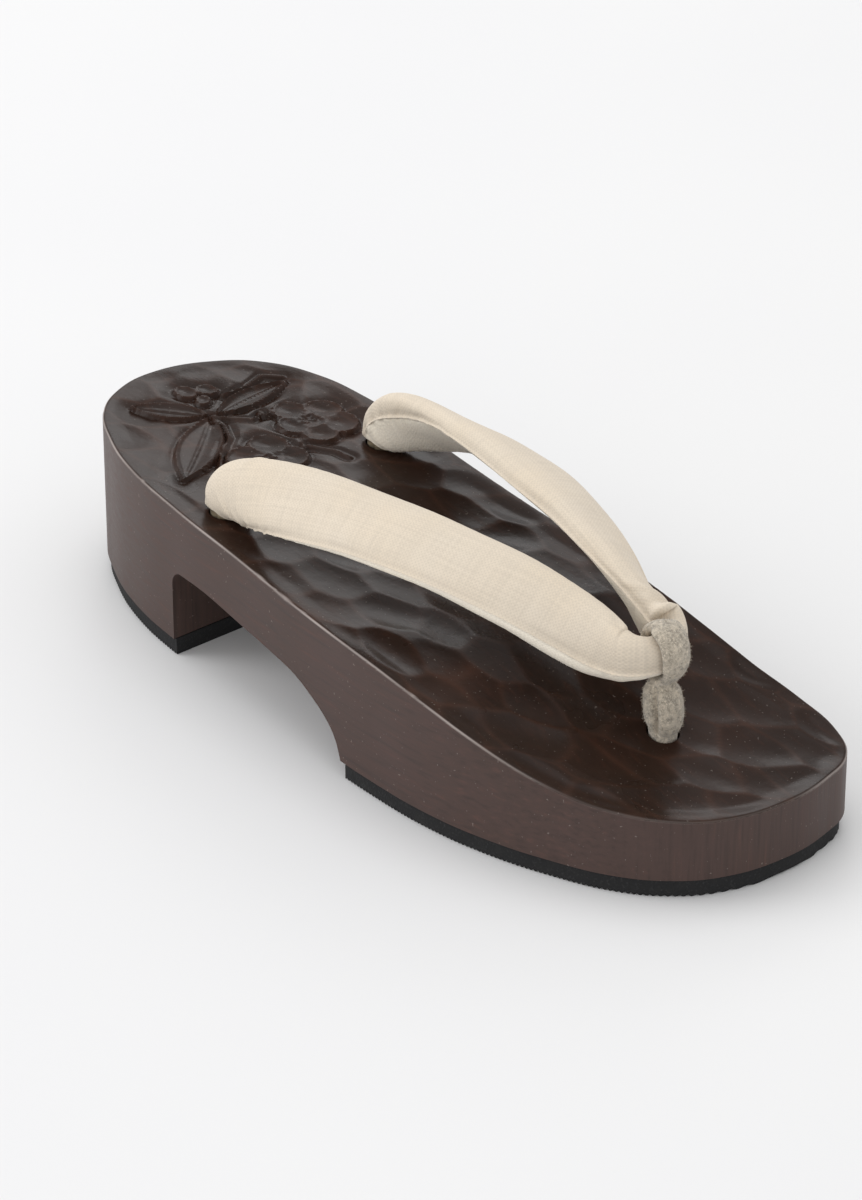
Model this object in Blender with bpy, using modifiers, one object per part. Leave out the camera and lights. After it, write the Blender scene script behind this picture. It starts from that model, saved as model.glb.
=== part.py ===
"""Right-foot geta: a carved wooden base on two blocks, rubber treads and a padded thong strap.

X runs from the heel to the toe, +Y is the wearer's left (the inner side) and +Z is up.
The origin is at the middle of the base's outline, on the ground.
"""

import math

import bmesh
import bpy
from mathutils import Vector

# Driving dimensions, in metres
LENGTH = 0.240
WIDTH = 0.087
HEEL_HEIGHT = 0.0454

# Rubber treads under the two blocks
TREAD_THICKNESS = 0.0047
TREAD_INSET = 0.0009
CLEARANCE = 0.0003
HEEL_BLOCK_END = 0.0622
FRONT_BLOCK_START = 0.1364

# Wooden base
EDGE_ROUNDING = 0.0007
EDGE_ROUNDING_STEPS = 2
EDGE_ANGLE = math.radians(35)
HEEL_FILLET = 0.0045

# Strap holes: distances from the heel and from the base's middle line
REAR_HOLES_ALONG = 0.071
FRONT_HOLE_ALONG = 0.202
REAR_MIDDLE = -0.0019
FRONT_MIDDLE = 0.0053
REAR_HOLE_SPREAD = 0.0273
HOLE_RADIUS = 0.0042
CORD_RADIUS = 0.0035
HOLE_SIDES = 24

# Pocket under the front hole, open through the tread, which holds the thong's knot
POCKET_RADIUS = 0.010
POCKET_DEPTH = 0.010
KNOT_RADIUS = 0.0062
REAR_KNOT_RADIUS = 0.0046
REAR_KNOT_DEPTH = 0.0052

# Padded strap
STRAP_WIDTH = 0.0196
STRAP_THICKNESS = 0.0096
STRAP_RISE = 0.0130
STRAP_SEAT_GAP = 0.0012
STRAP_SEAT_HALF_WIDTH = 0.0056
STRAP_SEAT_HALF_THICKNESS = 0.0040

# Its bend at the front, where the thong loops round it
BEND_LIFT = 0.0213
BEND_BACK = 0.0010
BEND_LENGTH = 0.0070
BEND_SPREAD = 0.0080
BEND_HALF_HEIGHT = 0.0049
BEND_HALF_DEPTH = 0.0036
BEND_END_HALF_HEIGHT = 0.0072
BEND_END_HALF_DEPTH = 0.0039

# Thong: a felt band round the strap, a pinched waist and a lobe that enters the hole
BAND_THICKNESS = 0.0026
BAND_SLACK = 0.0009
BAND_HALF_WIDTH = 0.0037
BAND_REAR_HALF_WIDTH = 0.0017
LOBE_HALF_WIDTH = 0.0048

# Mesh fineness
OUTLINE_STEPS = 4
PROFILE_STEPS = 3
STRAP_STEPS = 2
RING_POINTS = 18
BAND_RINGS = 24
SECTION_POWER = 2.4

# The base seen from above, clockwise from the heel's middle along the outer side:
# share of the length from the heel, share of half the width towards the inner side
OUTLINE_ROWS = (
    (0.000, 0.04),
    (0.012, -0.27),
    (0.042, -0.49),
    (0.095, -0.665),
    (0.170, -0.815),
    (0.270, -0.900),
    (0.390, -0.940),
    (0.500, -0.980),
    (0.620, -1.000),
    (0.705, -0.975),
    (0.780, -0.895),
    (0.850, -0.765),
    (0.915, -0.590),
    (0.957, -0.390),
    (0.985, -0.145),
    (1.000, 0.240),
    (0.994, 0.600),
    (0.975, 0.855),
    (0.937, 0.970),
    (0.880, 1.000),
    (0.805, 0.950),
    (0.710, 0.885),
    (0.580, 0.850),
    (0.440, 0.835),
    (0.310, 0.845),
    (0.205, 0.850),
    (0.130, 0.815),
    (0.068, 0.690),
    (0.025, 0.450),
)

# Top of the base from the side: share of the length, share of the heel's height
TOP_ROWS = (
    (-0.02, 0.985),
    (0.08, 0.992),
    (0.20, 1.000),
    (0.30, 0.981),
    (0.40, 0.945),
    (0.50, 0.905),
    (0.59, 0.876),
    (0.655, 0.838),
    (0.705, 0.788),
    (0.750, 0.724),
    (0.790, 0.658),
    (0.835, 0.588),
    (0.880, 0.535),
    (0.930, 0.500),
    (0.980, 0.474),
    (1.020, 0.462),
)

# Underside of the arch from the heel block to the front block, in the same shares
ARCH_ROWS = (
    (0.270, 0.574),
    (0.305, 0.580),
    (0.335, 0.570),
    (0.385, 0.535),
    (0.440, 0.505),
    (0.485, 0.470),
    (0.520, 0.395),
    (0.546, 0.310),
    (0.560, 0.225),
    (0.567, 0.135),
)

# One side of the strap behind its bend. Columns: share of the way from the front hole back
# to the rear hole, share of the way from the bend's spread out to the rear hole's, share of
# the strap's rise above the line from the bend to the rear seat, shares of the half width
# and half thickness, turn of the outer face from straight ahead, its lean upwards
STRAP_ROWS = (
    (0.106, 0.05, 0.09, 0.87, 0.88, 77, 17),
    (0.174, 0.16, 0.31, 0.91, 0.94, 75, 34),
    (0.273, 0.36, 0.63, 0.94, 0.98, 73, 52),
    (0.379, 0.56, 0.86, 0.97, 1.00, 76, 62),
    (0.500, 0.73, 0.99, 1.00, 1.00, 80, 66),
    (0.636, 0.88, 1.02, 1.00, 1.00, 84, 60),
    (0.773, 0.98, 0.91, 0.98, 0.98, 88, 46),
    (0.856, 1.01, 0.79, 0.93, 0.96, 90, 32),
    (0.920, 1.02, 0.63, 0.87, 0.94, 90, 20),
    (0.962, 1.01, 0.45, 0.80, 0.92, 90, 10),
    (0.989, 1.00, 0.23, 0.70, 0.89, 90, 4),
)

# Colours (linear RGB) and roughness of the materials
MATERIALS = {
    "lacquered_wood": ((0.030, 0.016, 0.012), 0.36),
    "black_rubber": ((0.012, 0.012, 0.013), 0.80),
    "cream_cotton": ((0.720, 0.640, 0.520), 0.92),
    "grey_felt": ((0.300, 0.285, 0.255), 0.97),
}


def clear_scene():
    for old in list(bpy.data.objects):
        bpy.data.objects.remove(old, do_unlink=True)


def new_collection(name):
    collection = bpy.data.collections.new(name)
    bpy.context.scene.collection.children.link(collection)
    return collection


def make_material(name):
    colour, roughness = MATERIALS[name]
    material = bpy.data.materials.new(name)
    material.use_nodes = True
    shader = material.node_tree.nodes["Principled BSDF"]
    shader.inputs["Base Color"].default_value = (*colour, 1.0)
    shader.inputs["Roughness"].default_value = roughness
    shader.inputs["Metallic"].default_value = 0.0
    material.diffuse_color = (*colour, 1.0)
    return material


def smooth_rows(rows, steps):
    """Points on a Catmull-Rom curve through the rows, which may have any number of columns."""
    points = []
    last = len(rows) - 1
    for index in range(last):
        before = rows[max(index - 1, 0)]
        start = rows[index]
        end = rows[index + 1]
        after = rows[min(index + 2, last)]
        for step in range(steps):
            t = step / steps
            points.append(tuple(
                0.5 * (2 * b + (c - a) * t + (2 * a - 5 * b + 4 * c - d) * t ** 2
                       + (3 * b - a - 3 * c + d) * t ** 3)
                for a, b, c, d in zip(before, start, end, after)))
    points.append(tuple(rows[last]))
    return points


def height_on(rows, along):
    """Height of a side line of the base at a distance from the heel."""
    points = smooth_rows(rows, PROFILE_STEPS)
    share = along / LENGTH
    for (x0, z0), (x1, z1) in zip(points, points[1:]):
        if x0 <= share <= x1:
            return HEEL_HEIGHT * (z0 + (z1 - z0) * (share - x0) / (x1 - x0))
    return HEEL_HEIGHT * points[-1][1]


def top_height(along):
    return height_on(TOP_ROWS, along)


def top_slope(along):
    """Rise of the base's top per metre towards the toe."""
    reach = 0.004
    return (top_height(along + reach) - top_height(along - reach)) / (2 * reach)


def strap_frame():
    """Front hole's place, the unit directions of the strap's middle line, back and across,
    and the distance from the front hole to the rear ones."""
    front = Vector((FRONT_HOLE_ALONG - LENGTH / 2, FRONT_MIDDLE, 0))
    rear = Vector((REAR_HOLES_ALONG - LENGTH / 2, REAR_MIDDLE, 0))
    back = (rear - front).normalized()
    across = Vector((back.y, -back.x, 0))
    return front, back, across, (rear - front).length


def hole_places():
    """The front hole, then the rear ones on the inner and outer sides."""
    front, back, across, run = strap_frame()
    rear = front + back * run
    return front, rear + across * REAR_HOLE_SPREAD, rear - across * REAR_HOLE_SPREAD


def bend_height():
    """Height of the middle of the strap's bend."""
    return top_height(FRONT_HOLE_ALONG) + BEND_LIFT


def mesh_object(name, mesh, collection, material=None):
    piece = bpy.data.objects.new(name, mesh)
    collection.objects.link(piece)
    if material:
        mesh.materials.clear()
        mesh.materials.append(material)
    return piece


def smooth_shading(mesh, angle=math.radians(40)):
    mesh.shade_smooth()
    mesh.set_sharp_from_angle(angle=angle)


def prism(name, spline_type, points, thickness, place, turn, collection, closed_steps=1):
    """A flat outline extruded both ways by half a thickness, as a mesh object."""
    curve = bpy.data.curves.new(name, "CURVE")
    curve.dimensions = "2D"
    curve.fill_mode = "BOTH"
    curve.extrude = thickness / 2
    curve.resolution_u = closed_steps
    spline = curve.splines.new(spline_type)
    spline.use_cyclic_u = True
    if spline_type == "BEZIER":
        spline.bezier_points.add(len(points) - 1)
        for knot, (x, y) in zip(spline.bezier_points, points):
            knot.co = (x, y, 0)
            knot.handle_left_type = "AUTO"
            knot.handle_right_type = "AUTO"
    else:
        spline.points.add(len(points) - 1)
        for knot, (x, y) in zip(spline.points, points):
            knot.co = (x, y, 0, 1)
    source = bpy.data.objects.new(name, curve)
    collection.objects.link(source)
    source.location = place
    source.rotation_euler = turn
    bpy.context.view_layer.update()
    mesh = bpy.data.meshes.new_from_object(source.evaluated_get(bpy.context.evaluated_depsgraph_get()))
    matrix = source.matrix_world.copy()
    bpy.data.objects.remove(source, do_unlink=True)
    bpy.data.curves.remove(curve)
    mesh.transform(matrix)
    edit = bmesh.new()
    edit.from_mesh(mesh)
    bmesh.ops.remove_doubles(edit, verts=edit.verts, dist=0.00001)
    bmesh.ops.recalc_face_normals(edit, faces=edit.faces)
    edit.to_mesh(mesh)
    edit.free()
    return mesh_object(name, mesh, collection)


def outline_prism(name, bottom, top, inset, collection):
    """The base's outline, drawn in by an inset, as a solid between two heights."""
    length = LENGTH - 2 * inset
    width = WIDTH - 2 * inset
    points = [((x - 0.5) * length, y * width / 2) for x, y in OUTLINE_ROWS]
    place = (0, 0, (bottom + top) / 2)
    return prism(name, "BEZIER", points, top - bottom, place, (0, 0, 0), collection, OUTLINE_STEPS)


def heel_fillet_points(steps=4):
    """Quarter round between the heel block's front face and the arch."""
    centre_x = HEEL_BLOCK_END + HEEL_FILLET
    centre_z = height_on(ARCH_ROWS, centre_x) - HEEL_FILLET
    return [
        (centre_x - HEEL_FILLET * math.cos(step * math.pi / 2 / steps),
         centre_z + HEEL_FILLET * math.sin(step * math.pi / 2 / steps))
        for step in range(steps + 1)
    ]


def side_profile(collection):
    """The base seen from the side, as a solid wider than the base."""
    wood_bottom = TREAD_THICKNESS + CLEARANCE
    top = [(x * LENGTH, z * HEEL_HEIGHT) for x, z in smooth_rows(TOP_ROWS, PROFILE_STEPS)]
    arch = [(x * LENGTH, z * HEEL_HEIGHT) for x, z in smooth_rows(ARCH_ROWS, PROFILE_STEPS)]
    start = top[0][0]
    end = top[-1][0]
    lower = [(start, wood_bottom), (HEEL_BLOCK_END, wood_bottom)]
    fillet = heel_fillet_points()
    lower += fillet + [point for point in arch if point[0] > fillet[-1][0] + HEEL_FILLET / 4]
    lower += [(FRONT_BLOCK_START, wood_bottom), (end, wood_bottom)]
    points = [(x - LENGTH / 2, z) for x, z in lower + top[::-1]]
    return prism("side_profile", "POLY", points, WIDTH * 1.4, (0, 0, 0), (math.pi / 2, 0, 0), collection)


def block(name, start, end, bottom, top, collection):
    """A box across the whole width between two distances from the heel."""
    edit = bmesh.new()
    bmesh.ops.create_cube(edit, size=1)
    size = Vector((end - start, WIDTH * 1.4, top - bottom))
    bmesh.ops.scale(edit, vec=size, verts=edit.verts)
    middle = Vector(((start + end - LENGTH) / 2, 0, (bottom + top) / 2))
    bmesh.ops.translate(edit, vec=middle, verts=edit.verts)
    mesh = bpy.data.meshes.new(name)
    edit.to_mesh(mesh)
    edit.free()
    return mesh_object(name, mesh, collection)


def drill(name, place, radius, bottom, top, collection):
    """An upright round cutter."""
    edit = bmesh.new()
    bmesh.ops.create_cone(edit, cap_ends=True, segments=HOLE_SIDES, radius1=radius, radius2=radius,
                          depth=top - bottom)
    bmesh.ops.translate(edit, vec=(place.x, place.y, (bottom + top) / 2), verts=edit.verts)
    mesh = bpy.data.meshes.new(name)
    edit.to_mesh(mesh)
    edit.free()
    return mesh_object(name, mesh, collection)


def cut(piece, cutter, operation):
    modifier = piece.modifiers.new(cutter.name, "BOOLEAN")
    modifier.operation = operation
    modifier.object = cutter
    modifier.solver = "EXACT"
    cutter.hide_render = True
    cutter.display_type = "WIRE"


def make_base(parts, cutters):
    """The wooden base: outline and side profile sawn from one block, with its strap holes."""
    base = outline_prism("dai", 0, HEEL_HEIGHT * 1.2, 0, parts)
    base.data.materials.append(make_material("lacquered_wood"))
    cut(base, side_profile(cutters), "INTERSECT")
    front, inner, outer = hole_places()
    holes = (("front_hole", front), ("rear_hole_inner", inner), ("rear_hole_outer", outer))
    for name, place in holes:
        cut(base, drill(name, place, HOLE_RADIUS, -HEEL_HEIGHT, HEEL_HEIGHT * 2, cutters), "DIFFERENCE")
    pocket_top = TREAD_THICKNESS + CLEARANCE + POCKET_DEPTH
    cut(base, drill("knot_pocket", front, POCKET_RADIUS, -HEEL_HEIGHT, pocket_top, cutters), "DIFFERENCE")
    rounding = base.modifiers.new("soft_edges", "BEVEL")
    rounding.width = EDGE_ROUNDING
    rounding.segments = EDGE_ROUNDING_STEPS
    rounding.limit_method = "ANGLE"
    rounding.angle_limit = EDGE_ANGLE
    smooth_shading(base.data)


def make_treads(parts, cutters):
    """Flat rubber sheets under the heel block and the front block."""
    rubber = make_material("black_rubber")
    spans = (
        ("heel_rubber", -TREAD_INSET, HEEL_BLOCK_END),
        ("front_rubber", FRONT_BLOCK_START + TREAD_INSET, LENGTH + TREAD_INSET),
    )
    for name, start, end in spans:
        tread = outline_prism(name, 0, TREAD_THICKNESS, TREAD_INSET, parts)
        tread.data.materials.append(rubber)
        cut(tread, block(name + "_span", start, end, -HEEL_HEIGHT, HEEL_HEIGHT, cutters), "INTERSECT")
        if name == "front_rubber":
            front = hole_places()[0]
            opening = drill("tread_opening", front, POCKET_RADIUS, -HEEL_HEIGHT, HEEL_HEIGHT, cutters)
            cut(tread, opening, "DIFFERENCE")


def section_ring(edit, centre, first, second, half_first, half_second):
    """A ring of vertices on a flattened round section spanned by two directions."""
    ring = []
    for index in range(RING_POINTS):
        angle = 2 * math.pi * index / RING_POINTS
        c = math.cos(angle)
        s = math.sin(angle)
        across = math.copysign(abs(c) ** (2 / SECTION_POWER), c) * half_first
        up = math.copysign(abs(s) ** (2 / SECTION_POWER), s) * half_second
        ring.append(edit.verts.new(centre + first * across + second * up))
    return ring


def bridge(edit, rings, closed=False):
    pairs = list(zip(rings, rings[1:]))
    if closed:
        pairs.append((rings[-1], rings[0]))
    for one, two in pairs:
        for index in range(RING_POINTS):
            after = (index + 1) % RING_POINTS
            edit.faces.new((one[index], one[after], two[after], two[index]))


def finish_loft(name, edit, collection, material):
    bmesh.ops.recalc_face_normals(edit, faces=edit.faces)
    mesh = bpy.data.meshes.new(name)
    edit.to_mesh(mesh)
    edit.free()
    smooth_shading(mesh)
    return mesh_object(name, mesh, collection, material)


def bend_sections(steps=4):
    """Sections of a quarter of the strap's bend: place, half width, half thickness, turn, lean."""
    sections = []
    for step in range(steps):
        angle = math.pi / 2 * step / steps
        share = (step / steps) ** 2
        place = Vector((
            BEND_LENGTH * math.cos(angle) - BEND_BACK - BEND_LENGTH,
            BEND_SPREAD * math.sin(angle),
            bend_height(),
        ))
        turn = math.degrees(math.atan2(math.sin(angle) / BEND_SPREAD, math.cos(angle) / BEND_LENGTH))
        half_height = BEND_HALF_HEIGHT + (BEND_END_HALF_HEIGHT - BEND_HALF_HEIGHT) * share
        half_depth = BEND_HALF_DEPTH + (BEND_END_HALF_DEPTH - BEND_HALF_DEPTH) * share
        sections.append((*place, half_height, half_depth, turn, 0))
    return sections


def side_sections():
    """Sections of one side of the strap from the end of its bend to its seat over the rear hole."""
    run = strap_frame()[3]
    seat = top_height(REAR_HOLES_ALONG) + STRAP_SEAT_GAP
    end = (-BEND_BACK - BEND_LENGTH, BEND_SPREAD, bend_height(), BEND_END_HALF_HEIGHT, BEND_END_HALF_DEPTH, 82, 4)
    sections = [end]
    for back, out, rise, width, thickness, turn, lean in STRAP_ROWS:
        spread = BEND_SPREAD + (REAR_HOLE_SPREAD - BEND_SPREAD) * out
        height = bend_height() + (seat - bend_height()) * back + STRAP_RISE * rise
        half_width = STRAP_WIDTH / 2 * width
        half_thickness = STRAP_THICKNESS / 2 * thickness
        sections.append((-run * back, spread, height, half_width, half_thickness, turn, lean))
    sections.append((-run, REAR_HOLE_SPREAD, seat, STRAP_SEAT_HALF_WIDTH, STRAP_SEAT_HALF_THICKNESS, 90, 0))
    return sections


def strap_side_rings(edit):
    """Rings of one side of the strap, from its middle at the front down through the rear hole."""
    sections = smooth_rows(bend_sections() + side_sections(), STRAP_STEPS)
    places = [Vector(section[:3]) for section in sections]
    mirrored = Vector((places[1].x, -places[1].y, places[1].z))
    before = [mirrored] + places[:-1]
    after = places[1:] + [places[-1] - Vector((0, 0, STRAP_SEAT_GAP))]
    rings = []
    for section, place, earlier, later in zip(sections, places, before, after):
        tangent = (later - earlier).normalized()
        half_width, half_thickness = section[3:5]
        turn = math.radians(section[5])
        lean = math.radians(section[6])
        face = Vector((math.cos(lean) * math.cos(turn), math.cos(lean) * math.sin(turn), math.sin(lean)))
        face = (face - tangent * face.dot(tangent)).normalized()
        rings.append(section_ring(edit, place, tangent.cross(face), face, half_width, half_thickness))
    along = Vector((1, 0, 0))
    sideways = Vector((0, 1, 0))
    knot_top = height_on(ARCH_ROWS, REAR_HOLES_ALONG) - 3 * CLEARANCE
    cord_rows = (
        (places[-1].z - STRAP_SEAT_GAP / 3, CORD_RADIUS),
        (knot_top, CORD_RADIUS),
        (knot_top - REAR_KNOT_DEPTH * 0.15, REAR_KNOT_RADIUS),
        (knot_top - REAR_KNOT_DEPTH * 0.75, REAR_KNOT_RADIUS),
        (knot_top - REAR_KNOT_DEPTH, REAR_KNOT_RADIUS * 0.6),
    )
    for height, radius in cord_rows:
        place = Vector((places[-1].x, REAR_HOLE_SPREAD, height))
        rings.append(section_ring(edit, place, along, sideways, radius, radius))
    return rings


def align_rings(rings):
    """Turn and flip each ring so its vertices follow the ring before it."""
    for index in range(1, len(rings)):
        previous = rings[index - 1]
        best = None
        for candidate in (rings[index], rings[index][::-1]):
            for shift in range(RING_POINTS):
                turned = candidate[shift:] + candidate[:shift]
                length = sum((a.co - b.co).length for a, b in zip(previous, turned))
                if best is None or length < best[0]:
                    best = (length, turned)
        rings[index] = best[1]
    return rings


def place_on_strap_line(piece):
    """Set a piece modelled about the front hole onto the strap's middle line."""
    front, back, _, _ = strap_frame()
    piece.location = front
    piece.rotation_euler = (0, 0, math.atan2(-back.y, -back.x))


def make_strap(parts):
    """The padded strap: one side, and its mirror image across the strap's middle line."""
    edit = bmesh.new()
    rings = align_rings(strap_side_rings(edit))
    for vertex in rings[0]:
        vertex.co.y = 0.0
    bridge(edit, rings)
    edit.faces.new(rings[-1])
    strap = finish_loft("hanao", edit, parts, make_material("cream_cotton"))
    mirror = strap.modifiers.new("other_side", "MIRROR")
    mirror.use_axis = (False, True, False)
    mirror.merge_threshold = 0.00005
    place_on_strap_line(strap)


def make_band(cutters):
    """The part of the thong that loops round the strap's bend."""
    edit = bmesh.new()
    centre = Vector((-BEND_BACK, 0, bend_height()))
    sideways = Vector((0, 1, 0))
    reach_x = BEND_HALF_DEPTH + BAND_SLACK + BAND_THICKNESS / 2
    reach_z = BEND_HALF_HEIGHT + BAND_SLACK + BAND_THICKNESS / 2
    rings = []
    for index in range(BAND_RINGS):
        angle = 2 * math.pi * index / BAND_RINGS
        outward = Vector((math.cos(angle), 0, math.sin(angle)))
        place = centre + Vector((reach_x * outward.x, 0, reach_z * outward.z))
        rearness = max(0.0, -outward.x) ** 0.6
        half_width = BAND_HALF_WIDTH + (BAND_REAR_HALF_WIDTH - BAND_HALF_WIDTH) * rearness
        rings.append(section_ring(edit, place, sideways, outward, half_width, BAND_THICKNESS / 2))
    bridge(edit, rings, closed=True)
    return finish_loft("thong_band", edit, cutters, None)


def make_thong(parts, cutters):
    """The felt thong: waist, lobe, the cord through the front hole and its knot, and the band."""
    edit = bmesh.new()
    ground = top_height(FRONT_HOLE_ALONG)
    slope = math.atan(top_slope(FRONT_HOLE_ALONG))
    pocket_top = TREAD_THICKNESS + CLEARANCE + POCKET_DEPTH
    band_bottom = bend_height() - BEND_HALF_HEIGHT - BAND_SLACK - BAND_THICKNESS
    rows = (
        (-BEND_BACK, band_bottom + BAND_THICKNESS * 0.7, 0.0026, 0.0030, 0),
        (-BEND_BACK, band_bottom + 0.0002, 0.0031, 0.0035, 0),
        (-0.0006, band_bottom - 0.0024, LOBE_HALF_WIDTH * 0.92, LOBE_HALF_WIDTH * 0.92, 0),
        (0, ground + 0.0060, LOBE_HALF_WIDTH, LOBE_HALF_WIDTH, slope / 2),
        (0, ground + 0.0026, LOBE_HALF_WIDTH * 0.96, LOBE_HALF_WIDTH * 0.94, slope),
        (0, ground + 0.0008, LOBE_HALF_WIDTH * 0.80, LOBE_HALF_WIDTH * 0.78, slope),
        (0, ground - 0.0004, CORD_RADIUS, CORD_RADIUS, slope),
        (0, pocket_top - CLEARANCE, CORD_RADIUS, CORD_RADIUS, 0),
        (0, pocket_top - 0.0010, KNOT_RADIUS, KNOT_RADIUS, 0),
        (0, pocket_top - 0.0055, KNOT_RADIUS, KNOT_RADIUS, 0),
        (0, pocket_top - 0.0070, KNOT_RADIUS * 0.6, KNOT_RADIUS * 0.6, 0),
    )
    sideways = Vector((0, 1, 0))
    rings = []
    for along, height, half_along, half_across, tilt in rows:
        forward = Vector((math.cos(tilt), 0, math.sin(tilt)))
        rings.append(section_ring(edit, Vector((along, 0, height)), forward, sideways, half_along, half_across))
    bridge(edit, rings)
    edit.faces.new(rings[0])
    edit.faces.new(rings[-1])
    thong = finish_loft("maetsubo", edit, parts, make_material("grey_felt"))
    place_on_strap_line(thong)
    band = make_band(cutters)
    place_on_strap_line(band)
    cut(thong, band, "UNION")


def main():
    clear_scene()
    parts = new_collection("geta")
    cutters = new_collection("cutters")
    make_base(parts, cutters)
    make_treads(parts, cutters)
    make_strap(parts)
    make_thong(parts, cutters)


main()
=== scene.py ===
"""Right-foot geta dressed for rendering: carved lacquered base, ribbed rubber treads,
padded cotton strap and felt thong. The file is laid out as a Blender add-on.

X runs from the heel to the toe, +Y is the wearer's left (the inner side) and +Z is up.
Sizes are in metres unless a name says otherwise.
"""

import math

import bpy
import numpy as np
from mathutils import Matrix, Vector
from mathutils.kdtree import KDTree


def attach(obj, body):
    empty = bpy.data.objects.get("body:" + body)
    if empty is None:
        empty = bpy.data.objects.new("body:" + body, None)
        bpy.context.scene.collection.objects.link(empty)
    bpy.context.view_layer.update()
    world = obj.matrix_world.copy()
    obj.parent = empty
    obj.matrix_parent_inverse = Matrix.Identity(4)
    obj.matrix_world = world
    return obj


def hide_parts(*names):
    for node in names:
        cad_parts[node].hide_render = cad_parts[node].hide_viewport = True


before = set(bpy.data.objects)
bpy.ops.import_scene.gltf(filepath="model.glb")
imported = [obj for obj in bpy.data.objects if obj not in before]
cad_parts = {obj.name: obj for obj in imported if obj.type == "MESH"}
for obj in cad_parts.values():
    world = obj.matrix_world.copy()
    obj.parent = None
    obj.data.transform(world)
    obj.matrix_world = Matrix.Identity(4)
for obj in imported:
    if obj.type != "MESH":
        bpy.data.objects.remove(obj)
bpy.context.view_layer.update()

bl_info = {
    "name": "Carved geta",
    "version": (1, 0, 0),
    "blender": (4, 5, 0),
    "location": "View3D > Sidebar > Geta",
    "description": "Models a right-foot geta around its CAD frame, piece by piece",
    "category": "Object",
}

# Wooden base, as in the CAD source
LENGTH = 0.240
WIDTH = 0.087
HEEL_HEIGHT = 0.0454
TREAD_THICKNESS = 0.0047
TREAD_INSET = 0.0009
CLEARANCE = 0.0003
HEEL_BLOCK_END = 0.0622
FRONT_BLOCK_START = 0.1364
HEEL_FILLET = 0.0045
EDGE_ROUNDING = 0.0006

# Strap holes: distances from the heel and from the base's middle line
REAR_HOLES_ALONG = 0.071
FRONT_HOLE_ALONG = 0.202
REAR_MIDDLE = -0.0019
FRONT_MIDDLE = 0.0053
REAR_HOLE_SPREAD = 0.0273
HOLE_RADIUS = 0.0042
CORD_RADIUS = 0.0035
POCKET_RADIUS = 0.010
POCKET_DEPTH = 0.010
KNOT_RADIUS = 0.0062
REAR_KNOT_RADIUS = 0.0046
REAR_KNOT_DEPTH = 0.0052

# Padded strap and its bend at the front
STRAP_WIDTH = 0.0196
STRAP_THICKNESS = 0.0096
STRAP_RISE = 0.0130
STRAP_SEAT_GAP = 0.0012
STRAP_SEAT_HALF_WIDTH = 0.0056
STRAP_SEAT_HALF_THICKNESS = 0.0040
BEND_LIFT = 0.0213
BEND_BACK = 0.0010
BEND_LENGTH = 0.0070
BEND_SPREAD = 0.0080
BEND_HALF_HEIGHT = 0.0049
BEND_HALF_DEPTH = 0.0036
BEND_END_HALF_HEIGHT = 0.0072
BEND_END_HALF_DEPTH = 0.0039
SECTION_POWER = 2.4

# Felt thong
BAND_THICKNESS = 0.0026
BAND_SLACK = 0.0009
BAND_HALF_WIDTH = 0.0037
BAND_REAR_HALF_WIDTH = 0.0017
LOBE_HALF_WIDTH = 0.0048

# Places along X from the base's middle, and the height of the wood's underside
HEEL_BLOCK_X = HEEL_BLOCK_END - LENGTH / 2
FRONT_BLOCK_X = FRONT_BLOCK_START - LENGTH / 2
REAR_HOLES_X = REAR_HOLES_ALONG - LENGTH / 2
FRONT_HOLE_X = FRONT_HOLE_ALONG - LENGTH / 2
WOOD_BOTTOM = TREAD_THICKNESS + CLEARANCE

# Outline from above, clockwise from the heel's middle along the outer side:
# share of the length from the heel, share of half the width towards the inner side
OUTLINE_ROWS = (
    (0.000, 0.04), (0.012, -0.27), (0.042, -0.49), (0.095, -0.665), (0.170, -0.815),
    (0.270, -0.900), (0.390, -0.940), (0.500, -0.980), (0.620, -1.000), (0.705, -0.975),
    (0.780, -0.895), (0.850, -0.765), (0.915, -0.590), (0.957, -0.390), (0.985, -0.145),
    (1.000, 0.240), (0.994, 0.600), (0.975, 0.855), (0.937, 0.970), (0.880, 1.000),
    (0.805, 0.950), (0.710, 0.885), (0.580, 0.850), (0.440, 0.835), (0.310, 0.845),
    (0.205, 0.850), (0.130, 0.815), (0.068, 0.690), (0.025, 0.450),
)
# Where the outline is parted into heel, outer side, toe and inner side, as places in its rows
OUTLINE_CORNERS = (2.0, 13.0, 17.25, 27.5)

# Top from the side: share of the length, share of the heel's height
TOP_ROWS = (
    (-0.02, 0.985), (0.08, 0.992), (0.20, 1.000), (0.30, 0.981), (0.40, 0.945), (0.50, 0.905),
    (0.59, 0.876), (0.655, 0.838), (0.705, 0.788), (0.750, 0.724), (0.790, 0.658), (0.835, 0.588),
    (0.880, 0.535), (0.930, 0.500), (0.980, 0.474), (1.020, 0.462),
)

# Underside of the arch, in the same shares
ARCH_ROWS = (
    (0.270, 0.574), (0.305, 0.580), (0.335, 0.570), (0.385, 0.535), (0.440, 0.505),
    (0.485, 0.470), (0.520, 0.395), (0.546, 0.310), (0.560, 0.225), (0.567, 0.135),
)

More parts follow.
